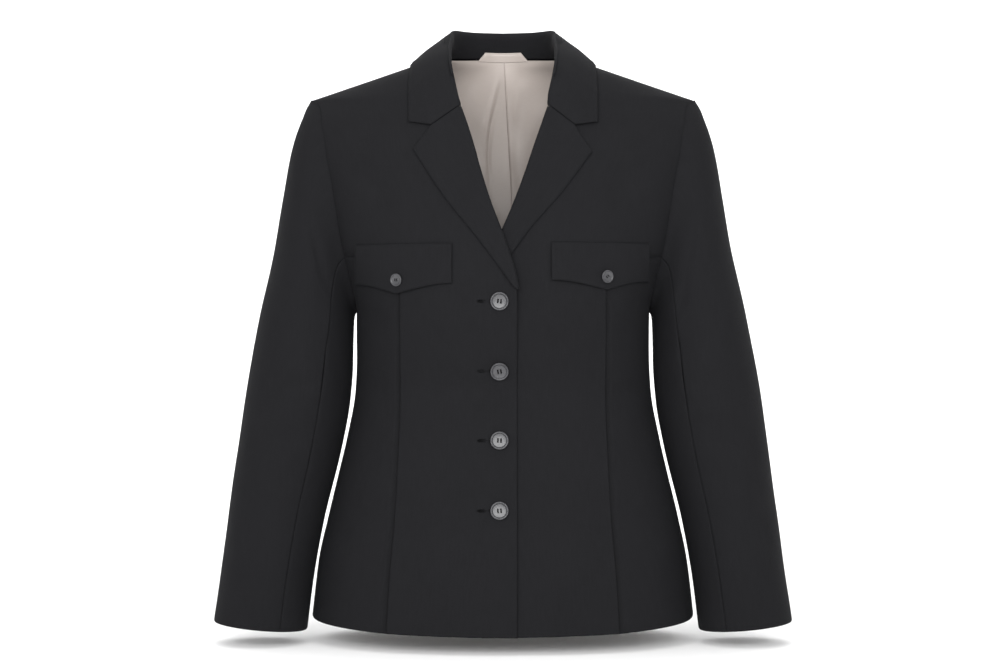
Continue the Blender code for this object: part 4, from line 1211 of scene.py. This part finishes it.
def tubeMesh(path, radius, name, closed=False):
    curve = bpy.data.curves.new(name, "CURVE")
    curve.dimensions = "3D"
    curve.bevel_depth = radius
    curve.bevel_resolution = 2
    curve.use_fill_caps = True
    spline = curve.splines.new("POLY")
    spline.points.add(len(path) - 1)
    for point, at in zip(spline.points, path):
        point.co = (*at, 1.0)
    spline.use_cyclic_u = closed
    helper = bpy.data.objects.new(name, curve)
    bpy.context.scene.collection.objects.link(helper)
    bpy.context.view_layer.update()
    mesh = bpy.data.meshes.new_from_object(helper.evaluated_get(bpy.context.evaluated_depsgraph_get()))
    bpy.data.objects.remove(helper)
    return mesh


def joined(name, meshes):
    whole = bmesh.new()
    for mesh in meshes:
        whole.from_mesh(mesh)
    bmesh.ops.remove_doubles(whole, verts=whole.verts, dist=1e-7)
    bmesh.ops.recalc_face_normals(whole, faces=whole.faces)
    mesh = bpy.data.meshes.new(name)
    whole.to_mesh(mesh)
    whole.free()
    return mesh


def buttonMesh(name, radius, turn):
    thick = radius * buttons["thickness"]
    turned = bmesh.new()
    line = [turned.verts.new((share * radius, 0, level * thick)) for share, level in buttons["profile"]]
    edges = [turned.edges.new(pair) for pair in zip(line, line[1:])]
    bmesh.ops.spin(turned, geom=line + edges, cent=(0, 0, 0), axis=(0, 0, 1), angle=2 * math.pi, steps=64,
                   use_merge=True)
    bmesh.ops.remove_doubles(turned, verts=turned.verts, dist=1e-6)
    bmesh.ops.recalc_face_normals(turned, faces=turned.faces)
    mesh = bpy.data.meshes.new(name)
    turned.to_mesh(mesh)
    turned.free()
    disc = bpy.data.objects.new(name, mesh)
    bpy.context.scene.collection.objects.link(disc)
    drills = bmesh.new()
    for across in (-1, 1):
        for up in (-1, 1):
            at = Matrix.Translation((across * buttons["holeAt"][0] * radius,
                                     up * buttons["holeAt"][1] * radius, thick / 2))
            bmesh.ops.create_cone(drills, cap_ends=True, segments=16, radius1=buttons["holeRadius"] * radius,
                                  radius2=buttons["holeRadius"] * radius, depth=thick * 3, matrix=at)
    drillMesh = bpy.data.meshes.new("drills")
    drills.to_mesh(drillMesh)
    drills.free()
    drill = bpy.data.objects.new("drills", drillMesh)
    bpy.context.scene.collection.objects.link(drill)
    cut = disc.modifiers.new("Holes", "BOOLEAN")
    cut.operation = "DIFFERENCE"
    cut.object = drill
    bpy.context.view_layer.update()
    cutMesh = bpy.data.meshes.new_from_object(disc.evaluated_get(bpy.context.evaluated_depsgraph_get()))
    for helper in (disc, drill):
        bpy.data.objects.remove(helper)
    cutMesh.transform(Matrix.Rotation(turn, 4, "Z"))
    return cutMesh


def threadMesh(radius, turn):
    # two bars of thread through the holes, and the shank under the button
    thick = radius * buttons["thickness"]
    bars = []
    for across in (-1, 1):
        for strand in (-0.35, 0.35):
            x = (across * buttons["holeAt"][0] + strand * buttons["holeRadius"]) * radius
            reach = buttons["holeAt"][1] * radius
            path = [(x, -reach, 0.0), (x, -reach * 0.96, thick * 0.60), (x, -reach * 0.5, thick * 0.73),
                    (x, 0, thick * 0.76), (x, reach * 0.5, thick * 0.73), (x, reach * 0.96, thick * 0.60),
                    (x, reach, 0.0)]
            bars.append(tubeMesh(path, buttons["holeRadius"] * radius * 0.48, "strand"))
    shank = tubeMesh([(0, 0, -0.0006), (0, 0, 0.0002)], radius * 0.2, "shank")
    mesh = joined("threads", bars + [shank])
    mesh.transform(Matrix.Rotation(turn, 4, "Z"))
    return mesh


def buildButton(name, node, foot, facing, radius, turn):
    placed = Matrix.Translation(Vector(foot)) @ pointAlong(facing)
    disc = buttonMesh(name, radius, turn)
    disc.transform(placed)
    made = addPiece(name, disc, buttonPlastic)
    made.data.set_sharp_from_angle(angle=math.radians(48))
    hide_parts(node)
    thread = threadMesh(radius, turn)
    thread.transform(placed)
    stitched = addPiece(f"{name}Thread", thread, darkThread)


def buildButtonhole(name, z, side=-1):
    # a worked slit: a whipped cord round it, from under the button towards the side
    length, width = buttons["buttonholeLength"], buttons["buttonholeWidth"]
    start = -buttons["x"] - 0.0012
    whips = []
    path = []
    rounds = 96
    for k in range(rounds):
        turn = 2 * math.pi * k / rounds
        x = start + length / 2 + length / 2 * math.copysign(abs(math.cos(turn)) ** 0.35, math.cos(turn))
        up = width / 2 * math.copysign(abs(math.sin(turn)) ** 0.8, math.sin(turn))
        path.append((x, z + up))
    for k in range(0, rounds):
        x, up = path[k]
        away = (up - z) / (width / 2)
        end = np.sign(x - start - length / 2) if abs(away) < 0.6 else 0.0
        pair = [(x - end * 0.0003, up - away * 0.0004), (x + end * 0.0006, up + away * 0.0006)]
        points = [onFront(px, pz, side, lift) for (px, pz), lift in zip(pair, (0.0001, 0.00035))]
        whips.append(tubeMesh([points[0], (points[0] + points[1]) / 2 + np.array([0, -0.0003, 0]), points[1]],
                              0.00022, "whip"))
    slit = [onFront(start + length * s, z, side, -0.0001) for s in np.linspace(0.02, 0.98, 24)]
    whips.append(tubeMesh(slit, 0.00028, "slit"))
    piece = addPiece(name, joined(name, whips), darkThread)


def buildButtons():
    for k, lift in enumerate(buttons["lifts"]):
        z = buttons["top"] - buttons["pitch"] * k
        foot = onForm(buttons["x"], z, False, lift)
        buildButton(f"frontButton{k + 1}", f"front_button_{k + 1}", foot, outward(onForm(buttons["x"], z)),
                    buttons["radius"], math.radians((-6, 9, -3, 5)[k]))
        buildButtonhole(f"buttonhole{k + 1}", z)
    for side in (-1, 1):
        sizes = flaps[side]
        x = sizes["point"] - 0.001
        foot = onFront(x, sizes["buttonZ"], side, flaps["lift"] + 0.0018)
        facing = outward(onFront(x, sizes["buttonZ"], side, 0.0))
        buildButton(f"{sideName(side)}FlapButton", f"flap_button_{sideName(side)}", foot, facing,
                    buttons["flapRadius"], math.radians(0 if side < 0 else 38))


def declareCloth(piece):
    name = piece.name
    for start in ("right", "left"):
        name = name.removeprefix(start)


cloths = []
for side in (-1, 1):
    cloths += [buildFront(side), buildSideFront(side), buildBack(side), buildLapel(side), buildFlap(side)]
    cloths += buildSleeve(side)
print("panels, lapels, flaps and sleeves built")
cloths += buildCollar()
cloths += [buildLining(), buildNeckPatch()]
print("collar and lining built")
for piece in cloths:
    declareCloth(piece)
buildButtons()
print("buttons built")
